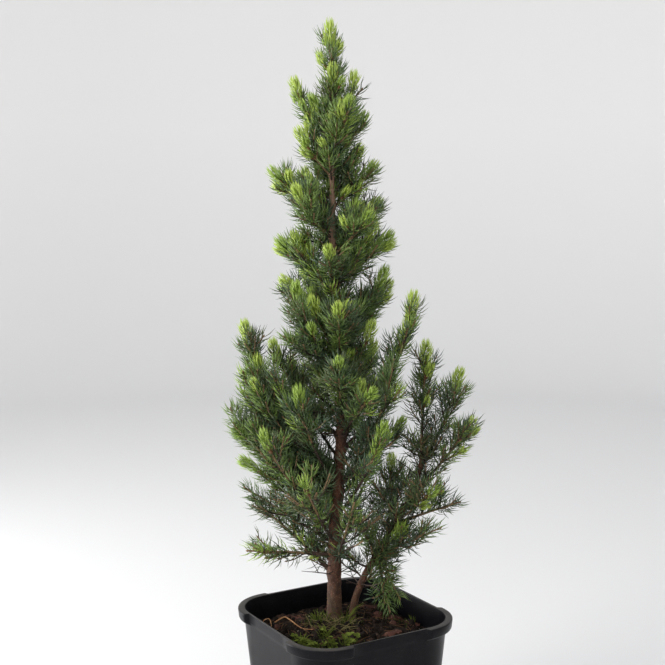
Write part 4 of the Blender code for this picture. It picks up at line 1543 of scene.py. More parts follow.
def grip_stops():
    """Places along a side, close together where the rim steps in and out."""
    full = GRIP_HALF + GRIP_RAMP
    ramp_in = [-full + GRIP_RAMP * i / RAMP_STEPS for i in range(RAMP_STEPS)]
    middle = [-GRIP_HALF + 2 * GRIP_HALF * i / GRIP_STEPS for i in range(GRIP_STEPS + 1)]
    return ramp_in + middle + [-y for y in reversed(ramp_in)]


def rim_share(y):
    return GRIP_RIM + (1 - GRIP_RIM) * smooth_step((abs(y) - GRIP_HALF) / GRIP_RAMP)


def wall_side(height):
    share = height / (POT_HEIGHT - RIM_BAND - RIM_SLOPE)
    return (
        BASE_SIDE + (WALL_TOP_SIDE - BASE_SIDE) * share,
        BASE_CORNER + (WALL_TOP_CORNER - BASE_CORNER) * share,
    )


def pot_ring(height, inset=0.0, overhang=0.0):
    """A level ring of the pot. The overhang beyond the wall shrinks in the grips."""
    side, corner = wall_side(height)
    half, corner = side / 2 - inset, corner - inset
    straight = half - corner
    bend = corner + overhang
    outline = [(half + overhang * rim_share(y), y * straight / STRAIGHT) for y in grip_stops()]
    outline += [(straight + bend * cos(a), straight + bend * sin(a)) for a in arc_steps(CORNER_STEPS)]
    ring = []
    for quarter in range(4):
        c, s = cos(POT_TURN + quarter * pi / 2), sin(POT_TURN + quarter * pi / 2)
        ring += [Vector((x * c - y * s, x * s + y * c, height)) for x, y in outline]
    return ring


def pot_profile():
    """The pot's rings from the middle of its underside, up the outside, over the lip and down inside."""
    top = POT_HEIGHT
    band = top - RIM_BAND
    slope = band - RIM_SLOPE
    reach = (RIM_SIDE - wall_side(top)[0]) / 2
    rings = [pot_ring(BASE_EDGE * (1 - cos(a)), inset=BASE_EDGE * (1 - sin(a))) for a in arc_steps()]
    rings += [pot_ring(share * slope) for share in WALL_STOPS]
    for height, overhang in (  # the slope under the rim's band, with its edges eased
        (slope - 0.5 * MM, 0.0),
        (slope, 0.2 * MM),
        (band - 0.5 * MM, reach - 0.3 * MM),
        (band + 0.2 * MM, reach),
    ):
        rings.append(pot_ring(height, overhang=overhang))
    for a in arc_steps():
        rings.append(pot_ring(top - LIP_ROUND * (1 - sin(a)), overhang=reach - LIP_ROUND * (1 - cos(a))))
    for a in arc_steps():
        rings.append(pot_ring(top - INNER_ROUND * (1 - cos(a)), inset=WALL - INNER_ROUND * (1 - sin(a))))
    rings += [pot_ring(share * top, inset=WALL) for share in INNER_STOPS]
    for a in arc_steps():
        rings.append(pot_ring(FLOOR + FLOOR_ROUND * (1 - sin(a)), inset=WALL + FLOOR_ROUND * (1 - cos(a))))
    return rings


pot = add_loft("pot_shell", pot_profile())
print("pot faces:", len(pot.data.polygons))

# %% [markdown]
# ## Drain holes
# Water leaves the pot through round holes in its floor. They could be left open in the profile, but it
# is easier to cut them out of the finished shell with a Boolean modifier, and to read the result back.

# %% Drain holes
DRAIN_RADIUS = 5 * MM
DRAIN_CORNER = 31 * MM
DRAIN_SIDE = 36 * MM
DRAIN_SIDES = 24


def circle(centre, radius, count):
    """A level ring of points."""
    return [centre + outward(k * tau / count) * radius for k in range(count)]


def cut_drains(pot):
    """Cuts the round holes through the floor, in its corners and at the middle of its sides."""
    cutters = []
    for i in range(4):
        for turn, reach in ((POT_TURN + pi / 4, DRAIN_CORNER * 2**0.5), (POT_TURN, DRAIN_SIDE)):
            centre = outward(turn + i * pi / 2) * reach
            rings = [circle(centre + UP * z, DRAIN_RADIUS, DRAIN_SIDES) for z in (-FLOOR, 2 * FLOOR)]
            cutters.append(add_loft("drain", rings))
            change = pot.modifiers.new("drain", "BOOLEAN")
            change.operation = "DIFFERENCE"
            change.object = cutters[-1]
    graph = bpy.context.evaluated_depsgraph_get()
    mesh = bpy.data.meshes.new_from_object(pot.evaluated_get(graph), depsgraph=graph)
    pot.modifiers.clear()
    pot.data = mesh
    for cutter in cutters:
        bpy.data.objects.remove(cutter)


cut_drains(pot)
print("pot faces with drains:", len(pot.data.polygons))

# %% [markdown]
# ## Pot plastic
# Recycled black plastic is not one black: it has a fine moulded grain, faint scratches that run round
# it, and dust in patches. Each of these is noise at its own scale. Faces that point up are paler too,
# partly dust that settles there and partly a painted highlight of the light on the lip, so its flat top is
# palest.

# %% Plastic material
PLASTIC = (0.0036, 0.0036, 0.0052)
PLASTIC_WORN = (0.026, 0.026, 0.030)
# pale dust, and also the painted highlight given to faces that point up
DUST_AND_HIGHLIGHT = (0.13, 0.12, 0.11)
PLASTIC_SHEEN = 0.11
CLOUD_CELLS = 38.0  # in a metre
SPECK_CELLS = 1400.0
MOULD_CELLS = 2200.0
SCRATCH_CELLS = (90, 90, 2600)
WAVE_CELLS = (26, 26, 8)


def plastic_material():
    made, tree, shader, place = new_material("pot_plastic", 0.42)
    shader.inputs["Specular IOR Level"].default_value = PLASTIC_SHEEN
    cloud = noise_at(tree, place, CLOUD_CELLS, 5.0, 0.6)
    scratches = noise_at(tree, stretched(tree, place, *SCRATCH_CELLS), 1.0, 3.0)
    scratches = ramp(tree, scratches, 0.60, 0.72, 0.0, 0.5)
    worn = times(tree, scratches, ramp(tree, cloud, 0.4, 0.6, 0.2, 1.0))
    colour = blend_colours(tree, worn, PLASTIC, PLASTIC_WORN)
    up = add_node(tree, "ShaderNodeSeparateXYZ", add_node(tree, "ShaderNodeNewGeometry").outputs["Normal"])
    # painted highlight: faces that point up are made paler, for the light on the lip's flat top, besides
    # the dust that settles there
    flat = ramp(tree, up.outputs["Z"], 0.5, 0.95, 0.0, 1.0)
    specks = ramp(tree, noise_at(tree, place, SPECK_CELLS, 2.0), 0.62, 0.70, 0.0, 0.6)
    film = ramp(tree, cloud, 0.45, 0.75, 0.0, 0.03)
    dust_and_highlight = times(tree, flat, ramp(tree, cloud, 0.3, 0.7, 0.15, 0.6))
    dust_and_highlight = plus(tree, dust_and_highlight, film)
    dust_and_highlight = plus(tree, dust_and_highlight, times(tree, specks, 0.25), clamp=True)
    colour = blend_colours(tree, dust_and_highlight, colour, DUST_AND_HIGHLIGHT)
    tree.links.new(colour, shader.inputs["Base Color"])
    rough = plus(tree, ramp(tree, cloud, 0.3, 0.7, 0.27, 0.38), times(tree, dust_and_highlight, 0.4))
    tree.links.new(rough, shader.inputs["Roughness"])
    grain = times(tree, noise_at(tree, place, MOULD_CELLS, 2.0), 0.12)
    waves = noise_at(tree, stretched(tree, place, *WAVE_CELLS), 1.0, 1.0)
    add_bump(tree, shader, plus(tree, grain, waves), 0.35, 0.8 * MM)
    return made


pot.data.materials.clear()
pot.data.materials.append(plastic_material())
keep(pot, ["pot"])

# %% [markdown]
# ## Soil
# The potting mix is lumpy and a little higher round the stems. Its top is a fan of rings from the wall
# to the middle, moved up and down by noise, and its sides follow the pot's inner wall. The same top,
# kept as a bed, later tells where crumbs, chips and moss lie.

# %% Soil body and bed
SOIL_GAP = 0.5 * MM
SOIL_RINGS = 46
SOIL_LUMPS = ((9 * MM, 2.0 * MM), (3.2 * MM, 1.3 * MM), (1.2 * MM, 0.5 * MM))  # size and height
NOISE_PLACE = 7.3  # the level of the noise that makes the lumps
RISE_RATE = 1.6  # the rise is done when share * RISE_RATE is 1
MOUND = 1.2 * MM
MOUND_WIDTH = 16 * MM
MIDDLE = Vector(((FOOT.x + SECOND_FOOT.x) / 2, FOOT.y, 0))


def soil_height(x, y, share):
    """The height of the soil, given the share of the way from the wall to the middle."""
    out = (Vector((x, y, 0)) - MIDDLE).length
    rise = smooth_step(share * RISE_RATE) * (GROUND - SOIL_EDGE)
    mound = MOUND * exp(-((out / MOUND_WIDTH) ** 2))
    lumps = sum(noise.noise(Vector((x / size, y / size, NOISE_PLACE))) * high for size, high in SOIL_LUMPS)
    return SOIL_EDGE + rise + mound + lumps


def soil_top():
    """The points and faces of the soil's surface, its edge first."""
    edge = pot_ring(SOIL_EDGE, inset=WALL + SOIL_GAP)
    count = len(edge)
    rings = []
    for share in (i / SOIL_RINGS for i in range(SOIL_RINGS)):
        places = [(c.x + (MIDDLE.x - c.x) * share, c.y + (MIDDLE.y - c.y) * share) for c in edge]
        rings.append([Vector((x, y, soil_height(x, y, share))) for x, y in places])
    points, faces = loft(rings)
    last = len(points) - count
    faces += [(last + k, last + (k + 1) % count, len(points)) for k in range(count)]
    points.append(Vector((MIDDLE.x, MIDDLE.y, soil_height(MIDDLE.x, MIDDLE.y, 1))))
    return points, faces, count


bed_points, bed_faces, edge_count = soil_top()
foot_ring = pot_ring(FLOOR + FLOOR_ROUND, inset=WALL + SOIL_GAP)
first = len(bed_points)
side_faces = [(k, (k + 1) % edge_count, first + (k + 1) % edge_count, first + k) for k in range(edge_count)]
underside = [tuple(range(first, first + edge_count))]
soil = add_shell("potting_mix_body", bed_points + foot_ring, bed_faces + side_faces + underside)
print("soil faces:", len(soil.data.polygons))

# %% Soil material
SOIL_DARK = (0.004, 0.003, 0.0028)
SOIL_BROWN = (0.018, 0.012, 0.009)
SOIL_PALE = (0.10, 0.072, 0.054)
SOIL_SHEEN = 0.12


def soil_material(name, dark, brown, pale, scale):
    made, tree, shader, place = new_material(name, 0.92)
    shader.inputs["Specular IOR Level"].default_value = SOIL_SHEEN
    coarse = noise_at(tree, place, 0.35 * scale, 6.0, 0.65)
    fine = noise_at(tree, place, 2.2 * scale, 4.0, 0.6)
    colour = blend_colours(tree, ramp(tree, coarse, 0.35, 0.65, 0.0, 1.0), dark, brown)
    colour = blend_colours(tree, ramp(tree, fine, 0.60, 0.70, 0.0, 0.6), colour, pale)
    tree.links.new(colour, shader.inputs["Base Color"])
    add_bump(tree, shader, plus(tree, coarse, fine), 0.8, 0.5 * MM)
    return made


soil_finish = soil_material("potting_mix", SOIL_DARK, SOIL_BROWN, SOIL_PALE, 900.0)
soil.data.materials.append(soil_finish)
keep(soil, ["potting_mix"])

# %% [markdown]
# ## Recipe: things strewn on the soil
# Crumbs, flecks and moss lie on the same bed. One recipe scatters points over it, more of them where a
# weight painted on the bed is high, and puts a small shape on each with its own turn, tilt and size.
# These are inputs, so each kind of litter is one row of a table.

# %% The recipe for scattering


def scatter_recipe():
    tree, given = new_recipe(
        "strewn_on_a_bed", Finish="material", Shape="object", Where="string", Density="float",
        Tumble="float", Smallest="float", Largest="float", Sink="float", Seed="int",
    )
    some = chances(tree, given["Seed"])
    weight = times(tree, named(tree, given["Where"]), given["Density"])
    points = output(
        tree, "GeometryNodeDistributePointsOnFaces", given["Geometry"], None, weight, given["Seed"],
        distribute_method="RANDOM",
    )
    tilt = times(tree, some(-pi, pi, 1), given["Tumble"])
    lean = times(tree, some(-pi, pi, 2), given["Tumble"])
    angles = output(tree, "ShaderNodeCombineXYZ", tilt, lean, some(-pi, pi, 3))
    rotation = output(tree, "FunctionNodeEulerToRotation", angles)
    skew = maths(tree, "POWER", some(0.0, 1.0, 4), 2.0)
    span = maths(tree, "SUBTRACT", given["Largest"], given["Smallest"])
    size = plus(tree, times(tree, skew, span), given["Smallest"])
    drop = add_node(tree, "ShaderNodeCombineXYZ", 0.0, 0.0, times(tree, given["Sink"], -1.0))
    placed = output(tree, "GeometryNodeSetPosition", points, None, None, drop.outputs[0])
    shape = add_node(tree, "GeometryNodeObjectInfo", given["Shape"]).outputs["Geometry"]
    scale = output(tree, "ShaderNodeCombineXYZ", size, size, size)
    litter = output(tree, "GeometryNodeInstanceOnPoints", placed, None, shape, None, None, rotation, scale)
    end_recipe(tree, litter, given["Finish"])
    return tree


SCATTER_RECIPE = scatter_recipe()
CRUMB_FROM = 1  # rings of the bed that stay free beside the wall
CLOD_FROM = 6
MOSS_SPOTS = (  # centre x, y, spread, all in mm, and strength
    (-14, 10, 9, 0.9), (-19, 8, 7, 0.8), (2, 6, 8, 0.8), (-31, -29, 6, 0.9), (-23, -38, 4, 0.9),
    (-10, -38, 4, 0.9), (-15, -20, 6, 0.5), (0, -32, 4, 0.7), (6, -28, 5, 0.4), (40, 22, 10, 0.15),
)


def moss_share(point):
    """How mossy the soil is at a point, from 0 to 1."""
    x, y = point.x / MM, point.y / MM
    return min(1.0, sum(
        share * exp(-(((x - u) ** 2 + (y - v) ** 2) / spread**2)) for u, v, spread, share in MOSS_SPOTS
    ))


def add_bed(name):
    """A copy of the soil's surface that carries the weights for scattering."""
    mesh = new_mesh(name, bed_points, bed_faces)
    rings = [i // edge_count for i in range(len(bed_points))]
    for label, numbers in (
        ("near_wall", [float(ring > CRUMB_FROM) for ring in rings]),
        ("off_wall", [float(ring > CLOD_FROM) for ring in rings]),
        ("moss", [moss_share(point) for point in bed_points]),
    ):
        mesh.attributes.new(label, "FLOAT", "POINT").data.foreach_set("value", numbers)
    return link_object(name, mesh)


# %% [markdown]
# ## Shapes to scatter
# Crumbs and clods are lumps of peat, and moss is a felt of tiny blades. Only one small shape of each is
# modelled: a ball dented by noise, and a three-sided blade. The recipe turns and sizes them at random.

# %% Shapes to scatter
CRUMB_NOISE = 0.7
CRUMB_CELLS = 1.7  # noise cells in a millimetre
CRUMB_HEIGHT = 0.8
MOSS_STOPS = ((0.0, 1.0), (0.5, 0.8))  # share of the height, and of the width there
BLADE = [(cos(k * tau / 3), sin(k * tau / 3)) for k in range(3)]


def crumb_shape(name, level, stretch, seed):
    """A lump about 1 mm across."""
    work = bmesh.new()
    bmesh.ops.create_icosphere(work, subdivisions=level, radius=0.5 * MM)
    for vertex in work.verts:
        place = vertex.co / MM * CRUMB_CELLS + Vector((seed, 0, 0))
        vertex.co *= 1 + CRUMB_NOISE * noise.noise(place)
        vertex.co.x *= stretch
        vertex.co.z *= CRUMB_HEIGHT
    mesh = bpy.data.meshes.new(name)
    work.to_mesh(mesh)
    work.free()
    return helper_shape(name, mesh)


def moss_shape(name, height, width, bend):
    """A tapered blade that stands up from the origin and bends towards +X."""
    rings = [
        [(x * width * size / 2 + bend * share**2, y * width * size / 2, height * share) for x, y in BLADE]
        for share, size in MOSS_STOPS
    ]
    return add_blade(name, rings, (bend, 0, height))


crumb = crumb_shape("crumb_shape", 1, 1.2, 3.0)
clod = crumb_shape("clod_shape", 2, 1.5, 8.0)
moss_blade = moss_shape("moss_blade_shape", 3.4 * MM, 0.7 * MM, 0.9 * MM)
print("faces of a crumb and a clod:", len(crumb.data.polygons), len(clod.data.polygons))

# %% Things strewn by the recipe
LITTER_COLOURS = {  # dark, middle and pale, and noise cells in a metre
    "soil_crumbs": ((0.006, 0.0045, 0.004), (0.028, 0.018, 0.013), (0.16, 0.115, 0.085), 600.0),
    "moss": ((0.030, 0.038, 0.010), (0.070, 0.092, 0.022), (0.15, 0.19, 0.045), 500.0),
    "dead_needles": ((0.05, 0.028, 0.016), (0.12, 0.066, 0.034), (0.24, 0.16, 0.09), 300.0),
    "pale_flecks": ((0.25, 0.2, 0.15), (0.42, 0.35, 0.27), (0.6, 0.52, 0.42), 500.0),
    "bark_chip": ((0.020, 0.010, 0.008), (0.105, 0.044, 0.032), (0.34, 0.20, 0.15), 260.0),
    "splinter": ((0.014, 0.009, 0.007), (0.048, 0.028, 0.02), (0.12, 0.08, 0.06), 260.0),
    "weed_leaves": ((0.065, 0.088, 0.014), (0.13, 0.165, 0.028), (0.28, 0.32, 0.08), 200.0),
    "root_fibre": ((0.22, 0.10, 0.045), (0.42, 0.24, 0.12), (0.6, 0.42, 0.26), 250.0),
    "straw": ((0.10, 0.085, 0.035), (0.19, 0.165, 0.075), (0.36, 0.32, 0.19), 300.0),
}
litter_finish = {name: soil_material(name, *look) for name, look in LITTER_COLOURS.items()}
SCATTER_INPUTS = ("Shape", "Where", "Density", "Tumble", "Smallest", "Largest", "Sink")
STREWN = (  # name, slot and the inputs; the clods have no colours of their own and take the soil's
    ("soil_crumbs", "potting_mix", crumb, "near_wall", 150000.0, 1.0, 0.7, 3.4, -0.3 * MM),
    ("soil_clods", "potting_mix", clod, "off_wall", 26000.0, 1.0, 1.4, 7.5, 0.3 * MM),
    ("pale_flecks", "potting_mix", crumb, "near_wall", 9000.0, 1.0, 0.4, 1.4, -0.3 * MM),
    ("moss", None, moss_blade, "moss", 1700000.0, 0.16, 0.5, 1.3, 0.3 * MM),
)
for number, (name, slot, *values) in enumerate(STREWN):
    finish = litter_finish.get(name, soil_finish)
    inputs = dict(zip(SCATTER_INPUTS, values), Seed=SEED + number)
    keep(follow_recipe(name, add_bed(name + "_bed"), SCATTER_RECIPE, finish, **inputs))

# %% [markdown]
# ## Litter laid one by one
# Between the crumbs lie pieces that the eye picks out one by one, and first of all bark chips, which are
# thin splintered slabs. Each is a row of rings with jittered corners, and a ray cast down onto the bed
# gives the height it lies at.

# %% Height of the soil under a point
bed_tree = BVHTree.FromPolygons([tuple(p) for p in bed_points], bed_faces)


def on_soil(x, y, above=0.0):
    """The point on the soil's surface under a place given in mm."""
    hit = bed_tree.ray_cast(Vector((x * MM, y * MM, 1)), -UP)[0]
    return hit + UP * above * MM if hit else Vector((x * MM, y * MM, GROUND))


def over_soil(x, y, margin=1.1):
    """Whether a place in mm lies on the soil, and well within the pot's wall."""
    return bed_tree.ray_cast(Vector((x * MM * margin, y * MM * margin, 1)), -UP)[0] is not None


# %% Bark chips
CHIP_SPOTS = (  # x, y, length, width, turn in degrees
    (-30, 29, 15, 8, 20), (-33, 13, 12, 6, 150), (-12, 48, 14, 7, 80), (-40, 22, 9, 5, 40),
    (17, 44, 16, 7, 10), (36, 8, 9, 5, 100), (33, -13, 13, 7, 30), (38, -9, 9, 5, 120),
    (50, 16, 11, 5, 160), (24, 24, 12, 6, 60), (39, 27, 12, 7, 200), (12, -18, 8, 4, 15),
    (-48, 8, 8, 5, 75), (-20, -6, 9, 4, 130), (22, -30, 12, 5, 25),
)
CHIP_COUNT = 60
CHIP_THICKNESS = 1.6
CHIP_STOPS = 5
CHIP_PROFILE = ((-1, -1), (-0.9, 1), (0.2, 1.4), (1, 0.7), (1, -1))  # shares of half the width and height
CHIP_TILT = (0.35, 0.3)  # radians, round its length and across it
CHIP_LIFT = 0.8
CHIP_FLATNESS = 0.3  # of the jitter of its corners
LOOSE_MARGIN = 1.12  # keeps the loose ones off the wall


def chip_points(length, width, thick, random):
    """The corners and faces of a splintered slab, along x, in metres."""
    rings = []
    for i in range(CHIP_STOPS):
        share = i / (CHIP_STOPS - 1)
        wide = width * (0.55 + 0.45 * sin(pi * (0.15 + 0.7 * share))) * random.uniform(0.75, 1.1) / 2
        x = length * (share - 0.5)
        arch = thick * 0.8 * sin(pi * share) * random.uniform(0.4, 1)
        high = thick * random.uniform(0.35, 0.6)
        ring = []
        for y, z in CHIP_PROFILE:
            jitter = any_way(random, 0.5)
            jitter.z *= CHIP_FLATNESS
            ring.append((Vector((x, y * wide, z * high + arch)) + jitter) * MM)
        rings.append(ring)
    points, faces = loft(rings)
    count = len(CHIP_PROFILE)
    caps = [tuple(reversed(range(count))), tuple(range(len(points) - count, len(points)))]
    return points, faces + caps


def add_chips(name, spots, finish, random):
    """A piece of slabs that lie on the soil, each with its own tilt."""
    points, faces = [], []
    for x, y, length, width, turn in spots:
        local, sides = chip_points(length, width, CHIP_THICKNESS * random.uniform(0.6, 1.2), random)
        place = Matrix.Translation(on_soil(x, y, CHIP_LIFT)) @ Matrix.Rotation(radians(turn), 4, "Z")
        for most, axis in zip(CHIP_TILT, "XY"):
            place = place @ Matrix.Rotation(random.uniform(-most, most), 4, axis)
        faces += [tuple(len(points) + k for k in side) for side in sides]
        points += [place @ p for p in local]
    piece = add_shell(name, points, faces, smooth=False)
    piece.data.materials.append(finish)
    keep(piece)


random = Random(f"litter {SEED}")
loose = []
while len(loose) < CHIP_COUNT:
    x, y = random.uniform(-60, 60), random.uniform(-60, 60)
    if over_soil(x, y, LOOSE_MARGIN):
        loose.append((x, y, random.uniform(3, 8), random.uniform(1.5, 4), random.uniform(0, 360)))
add_chips("bark_chips", CHIP_SPOTS, litter_finish["bark_chip"], random)
add_chips("bark_splinters", loose, litter_finish["splinter"], random)

# %% [markdown]
# ## Thin strands on the soil
# Fallen needles, straws, root fibres and thin-leaved weeds are all bowed lines with a radius at either
# end. The recipe for twigs makes rods of them too, so no new shape is needed.

# %% Fallen needles, straws, weeds and root fibres
FALLEN_COUNT = 230
STRAW_COUNT = 52
WEED_CLUMPS = (  # x, y in mm, leaves, length in mm
    (-31, -29, 16, 9), (-35, -22, 8, 7), (-23, -38, 12, 8), (-15, -21, 14, 10), (-9, -38, 12, 7),
    (0, -33, 8, 7), (-19, 9, 12, 9), (-15, 5, 10, 12), (2, 3, 10, 10), (0, 9, 18, 18), (51, 18, 8, 7),
)
FALLEN_RADII = (0.38 * MM, 0.2 * MM)  # of each at its foot and its tip
STRAW_RADII = (0.3 * MM, 0.15 * MM)
WEED_RADII = (0.33 * MM, 0.12 * MM)
STRAW_MIDDLE = (-6, 5)  # mm


def bowed_line(start, end, rise, steps):
    """Points from one place to another along an arch."""
    shares = [i / steps for i in range(steps + 1)]
    return [start + (end - start) * share + UP * (rise * 4 * share * (1 - share)) for share in shares]


def strand(path, root, tip):
    return path, tapered(path, root, tip), 1.0


def dead_needle_lines(random):
    lines = []
    while len(lines) < FALLEN_COUNT:
        x, y = random.uniform(-56, 56), random.uniform(-56, 56)
        turn, length = random.uniform(0, tau), random.uniform(6, 10)
        end = (x + length * cos(turn), y + length * sin(turn))
        if over_soil(x, y) and over_soil(*end):
            start = on_soil(x, y, random.uniform(0.5, 1.6))
            end = on_soil(*end, random.uniform(0.5, 1.8))
            lines.append(strand(bowed_line(start, end, 0.3 * MM, 3), *FALLEN_RADII))
    return lines


def straw_lines(random):
    lines = []
    for _ in range(STRAW_COUNT):
        turn = random.uniform(pi, tau)
        reach = random.uniform(1, 20)
        x, y = STRAW_MIDDLE[0] + reach * cos(turn), STRAW_MIDDLE[1] + reach * sin(turn)
        way = random.uniform(0, tau)
        length = random.uniform(6, 15)
        start = on_soil(x, y, 0.3)
        end = start + Vector((cos(way), sin(way), random.uniform(0.1, 0.7))) * length * MM
        lines.append(strand(bowed_line(start, end, random.uniform(0.5, 2) * MM, 6), *STRAW_RADII))
    return lines


def weed_lines(random):
    lines = []
    for x, y, leaves, length in WEED_CLUMPS:
        for _ in range(leaves):
            turn = random.uniform(0, tau)
            spread = random.uniform(0.15, 1.0)
            start = on_soil(x + 3 * spread * cos(turn), y + 3 * spread * sin(turn), -0.2)
            long = length * random.uniform(0.6, 1.15) * MM
            way = outward(turn + random.uniform(-0.5, 0.5)) * spread
            end = start + (way + UP * random.uniform(0.6, 1.1)).normalized() * long
            lines.append(strand(bowed_line(start, end, 0.16 * long, 5), *WEED_RADII))
    return lines


FIBRES = (  # x, y and height above the soil in mm, then the radii at the ends
    (((-51, 17, 0.8), (-47, 17, 2.6), (-43, 14, 3.4), (-38, 6, 3.4), (-34, 0, 2.4), (-29, -4, 1),
      (-22, -6, 0.6)), 0.6 * MM, 0.3 * MM),
    (((-61, 10, 0.6), (-59, 15, 3.4), (-55, 15, 3.6), (-53, 8, 2.4), (-54, 2, 0.5)), 0.45 * MM, 0.2 * MM),
)


def smooth_line(corners, steps=6):
    """A smooth line through points given as x, y and height above the soil, in mm."""
    points = [on_soil(x, y, z) for x, y, z in corners]
    ends = [points[0] * 2 - points[1]] + points + [points[-1] * 2 - points[-2]]
    line = []
    for a, b, c, d in zip(ends, ends[1:], ends[2:], ends[3:]):
        for i in range(steps):
            t = i / steps
            point = b * 2 + (c - a) * t
            point += (a * 2 - b * 5 + c * 4 - d) * t**2
            point += (b * 3 - a - c * 3 + d) * t**3
            line.append(point / 2)
    return line + [points[-1]]


random = Random(f"strands {SEED}")
for name, lines, finish, slot in (
    ("dead_needles", dead_needle_lines(random), "dead_needles", "potting_mix"),
    ("straws", straw_lines(random), "straw", "potting_mix"),
    ("thin_leaved_weeds", weed_lines(random), "weed_leaves", None),
    ("root_fibres", [strand(smooth_line(p), *radii) for p, *radii in FIBRES], "root_fibre", "potting_mix"),
):
    add_rods(name, lines, litter_finish[finish])

# %% [markdown]
# ## Seedling
# Near the front corner small plants hold cupped leaves with rounded lobes on thin stalks. Pictures on
# flat cards look cut out from near by, so one formula draws the lobed edge, and each leaf is closed on
# both sides and has a thickness.

# %% Seedling with lobed leaves
LEAF_SPOTS = (  # x, y, height, size, all in mm, and turn in degrees
    (4, -34, 9, 7.0, 20), (9, -32, 7, 6.0, 300), (0, -31, 6.5, 5.5, 140), (6, -38, 5, 5.5, 220),
    (-9, -37, 5, 5.0, 60), (-14, -39, 4, 5.0, 200), (-6, -40, 4, 4.5, 330),
)
LEAFLET_CLUMPS = (  # x, y in mm, and leaves
    (-31, -29, 15), (-36, -22, 7), (-23, -38, 10), (-10, -38, 10), (-16, -20, 6), (3, -33, 9), (52, 18, 4),
)
LEAFLET_SPREAD = 2.1
LEAFLET_MARGIN = 1.15
LEAF_LOBES = 3
LEAF_POINTS = 18
LEAF_THICKNESS = 0.25 * MM
LEAF_WAIST = 0.55  # reach of the edge between two lobes, as a share of that at their tips
LEAF_CUP = 0.18
LEAF_TILT = 0.8
STALK_RADII = (0.35 * MM, 0.25 * MM)


def add_leaf(points, faces, centre, size, turn, tilt):
    """A cupped leaf with rounded lobes, closed on both sides."""
    spin = Matrix.Rotation(turn, 3, "Z") @ Matrix.Rotation(tilt, 3, "Y")
    first = len(points)
    for side in (1, -1):
        for share in (1.0, 0.5):
            for i in range(LEAF_POINTS):
                a = i * tau / LEAF_POINTS
                lobe = LEAF_WAIST + (1 - LEAF_WAIST) * abs(cos(LEAF_LOBES * a / 2)) ** 0.6
                reach = size / 2 * lobe * share
                cup = LEAF_CUP * size * share**2
                flat = Vector((cos(a) * reach, sin(a) * reach * 0.9, cup)) * MM
                points.append(centre + spin @ (flat + UP * side * LEAF_THICKNESS / 2))
        points.append(centre + spin @ (UP * side * LEAF_THICKNESS / 2))
    half = 2 * LEAF_POINTS + 1
    for k in range(LEAF_POINTS):
        n = (k + 1) % LEAF_POINTS
        for base, flip in ((first, 1), (first + half, -1)):
            inner = base + LEAF_POINTS
            faces.append((base + k, base + n, inner + n, inner + k)[::flip])
            faces.append((inner + k, inner + n, base + 2 * LEAF_POINTS)[::flip])
        faces.append((first + n, first + k, first + half + k, first + half + n))


leaf_spots = list(LEAF_SPOTS)
for x, y, count in LEAFLET_CLUMPS:
    for _ in range(count):
        u, v = x + random.gauss(0, LEAFLET_SPREAD), y + random.gauss(0, LEAFLET_SPREAD)
        if over_soil(u, v, LEAFLET_MARGIN):
            leaf_spots.append((u, v, random.uniform(2, 8), random.uniform(2, 4), random.uniform(0, 360)))
points, faces, stalks = [], [], []
for x, y, height, size, turn in leaf_spots:
    root = on_soil(x * 0.75 + 0.5, y * 0.85 - 4, -0.2)
    centre = on_soil(x, y, height)
    add_leaf(points, faces, centre, size, radians(turn), random.uniform(-LEAF_TILT, LEAF_TILT))
    stalks.append(strand(bowed_line(root, centre, 0.6 * MM, 5), *STALK_RADII))
leaves = add_shell("seedling_leaves", points, faces)
leaves.data.materials.append(litter_finish["weed_leaves"])
keep(leaves)
add_rods("seedling_stalks", stalks, litter_finish["weed_leaves"])

for shape in (needle, crumb, clod, moss_blade):
    bpy.data.objects.remove(shape)

# %% [markdown]
# ## Studio
# The plant stands in a wide bowl of pale paper, whose floor is a little darker than its wall and curves
# up into it. A flat backdrop would do for one picture, but a bowl shows no edge from any side.

# %% Floor and backdrop
FLOOR_RADIUS = 1.7
WALL_CURVE = 0.6
WALL_TOP = 2.3
CURVE_STEPS = 16
STAGE_SIDES = 96
WALL_COLOUR = (0.85, 0.845, 0.845)
FLOOR_COLOUR = (0.74, 0.74, 0.745)

outline = [(FLOOR_RADIUS, 0.0)]
outline += [
    (FLOOR_RADIUS + WALL_CURVE * sin(a), WALL_CURVE * (1 - cos(a))) for a in arc_steps(CURVE_STEPS)[1:]
]
outline.append((FLOOR_RADIUS + WALL_CURVE, WALL_TOP))
points, faces = loft([circle(UP * z, reach, STAGE_SIDES) for reach, z in outline])
faces = [tuple(range(STAGE_SIDES))] + [face[::-1] for face in faces]
mesh = new_mesh("floor_and_backdrop", points, faces)
mesh.shade_smooth()
paper, tree, shader, place = new_material("studio_paper", 0.9)
height = add_node(tree, "ShaderNodeSeparateXYZ", place).outputs["Z"]
colour = blend_colours(tree, ramp(tree, height, 0.0, WALL_CURVE, 0.0, 1.0), FLOOR_COLOUR, WALL_COLOUR)
tree.links.new(colour, shader.inputs["Base Color"])
mesh.materials.append(paper)
link_object("floor_and_backdrop", mesh)

# %% [markdown]
# ## Camera
# The photograph was taken from near by, a little above the middle of the plant, and tipped down. The
# camera could be placed by eye, but this one was fitted to the outline and the taper of the pot, so that
# the render can be laid over the photograph.

# %% Camera
CAMERA_TILT = radians(6.59)
CAMERA_PAN = radians(-0.48)
CAMERA_ROLL = radians(-0.33)
SENSOR = 36
FOCAL_SHARE = 1200 / 665  # focal length over the width of the picture

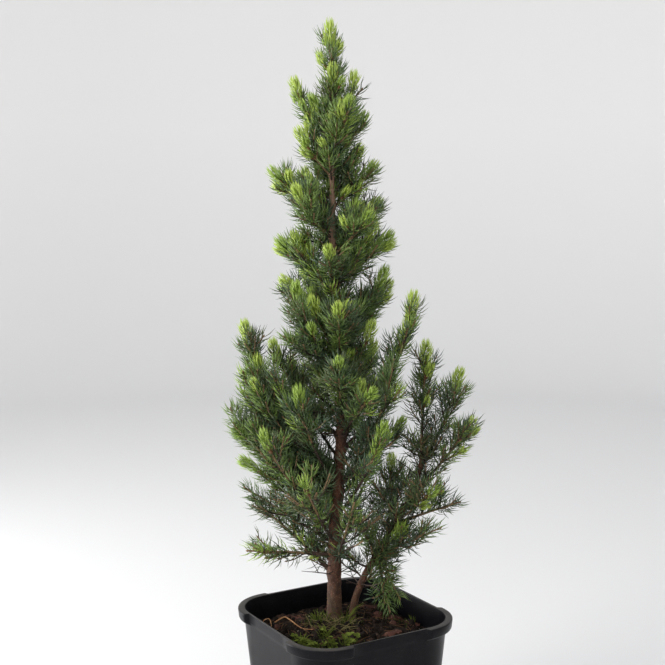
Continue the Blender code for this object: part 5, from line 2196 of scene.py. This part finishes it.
level = cos(CAMERA_TILT)
ahead = Vector((sin(CAMERA_PAN) * level, cos(CAMERA_PAN) * level, -sin(CAMERA_TILT)))
right = Vector((cos(CAMERA_PAN), -sin(CAMERA_PAN), 0))
above = right.cross(ahead)
rolled_right = right * cos(CAMERA_ROLL) + above * sin(CAMERA_ROLL)
rolled_up = above * cos(CAMERA_ROLL) - right * sin(CAMERA_ROLL)
turn = Matrix((rolled_right, rolled_up, -ahead)).transposed()
camera_data = bpy.data.cameras.new("camera")
camera_data.lens = SENSOR * FOCAL_SHARE
camera_data.sensor_width = SENSOR
camera = link_object("camera", camera_data)
camera.matrix_world = Matrix.Translation(CAMERA_PLACE) @ turn.to_4x4()
bpy.context.scene.camera = camera

print("camera, focal length in mm:", round(camera_data.lens, 1))

# %% [markdown]
# ## Lights
# Soft daylight falls from the upper left: a large key light, a low one that grazes the pot's left side, a
# weak one above, and the sky. A sun lamp is simpler, but its shadows have hard edges.

# %% Lights
LIGHTS = (  # name, place and side in metres, power in watts, colour
    ("key", (-1.45, -0.9, 1.35), 1.2, 30.0, (1.0, 0.985, 0.96)),
    ("side", (-1.0, 0.22, 0.22), 0.5, 9.0, (0.98, 0.99, 1.0)),
    ("top", (0.1, -0.15, 1.7), 1.2, 7.0, (1.0, 1.0, 1.0)),
)
SKY_COLOUR = (0.96, 0.98, 1.0)
SKY_STRENGTH = 0.58
AIM = Vector((0, 0, 0.28))

for name, place, side, power, colour in LIGHTS:
    data = bpy.data.lights.new(name, "AREA")
    data.shape = "SQUARE"
    data.size = side
    data.energy = power
    data.color = colour
    turn = (AIM - Vector(place)).to_track_quat("-Z", "Y").to_matrix().to_4x4()
    link_object(name, data).matrix_world = Matrix.Translation(place) @ turn
world = bpy.data.worlds.new("sky")
world.use_nodes = True
background = world.node_tree.nodes["Background"]
background.inputs["Color"].default_value = (*SKY_COLOUR, 1)
background.inputs["Strength"].default_value = SKY_STRENGTH
bpy.context.scene.world = world
bpy.context.scene.view_settings.view_transform = "Standard"

# %% Size and finish
print("pieces:", len(PIECES), "triangles:", sum(map(triangle_count, PIECES)))
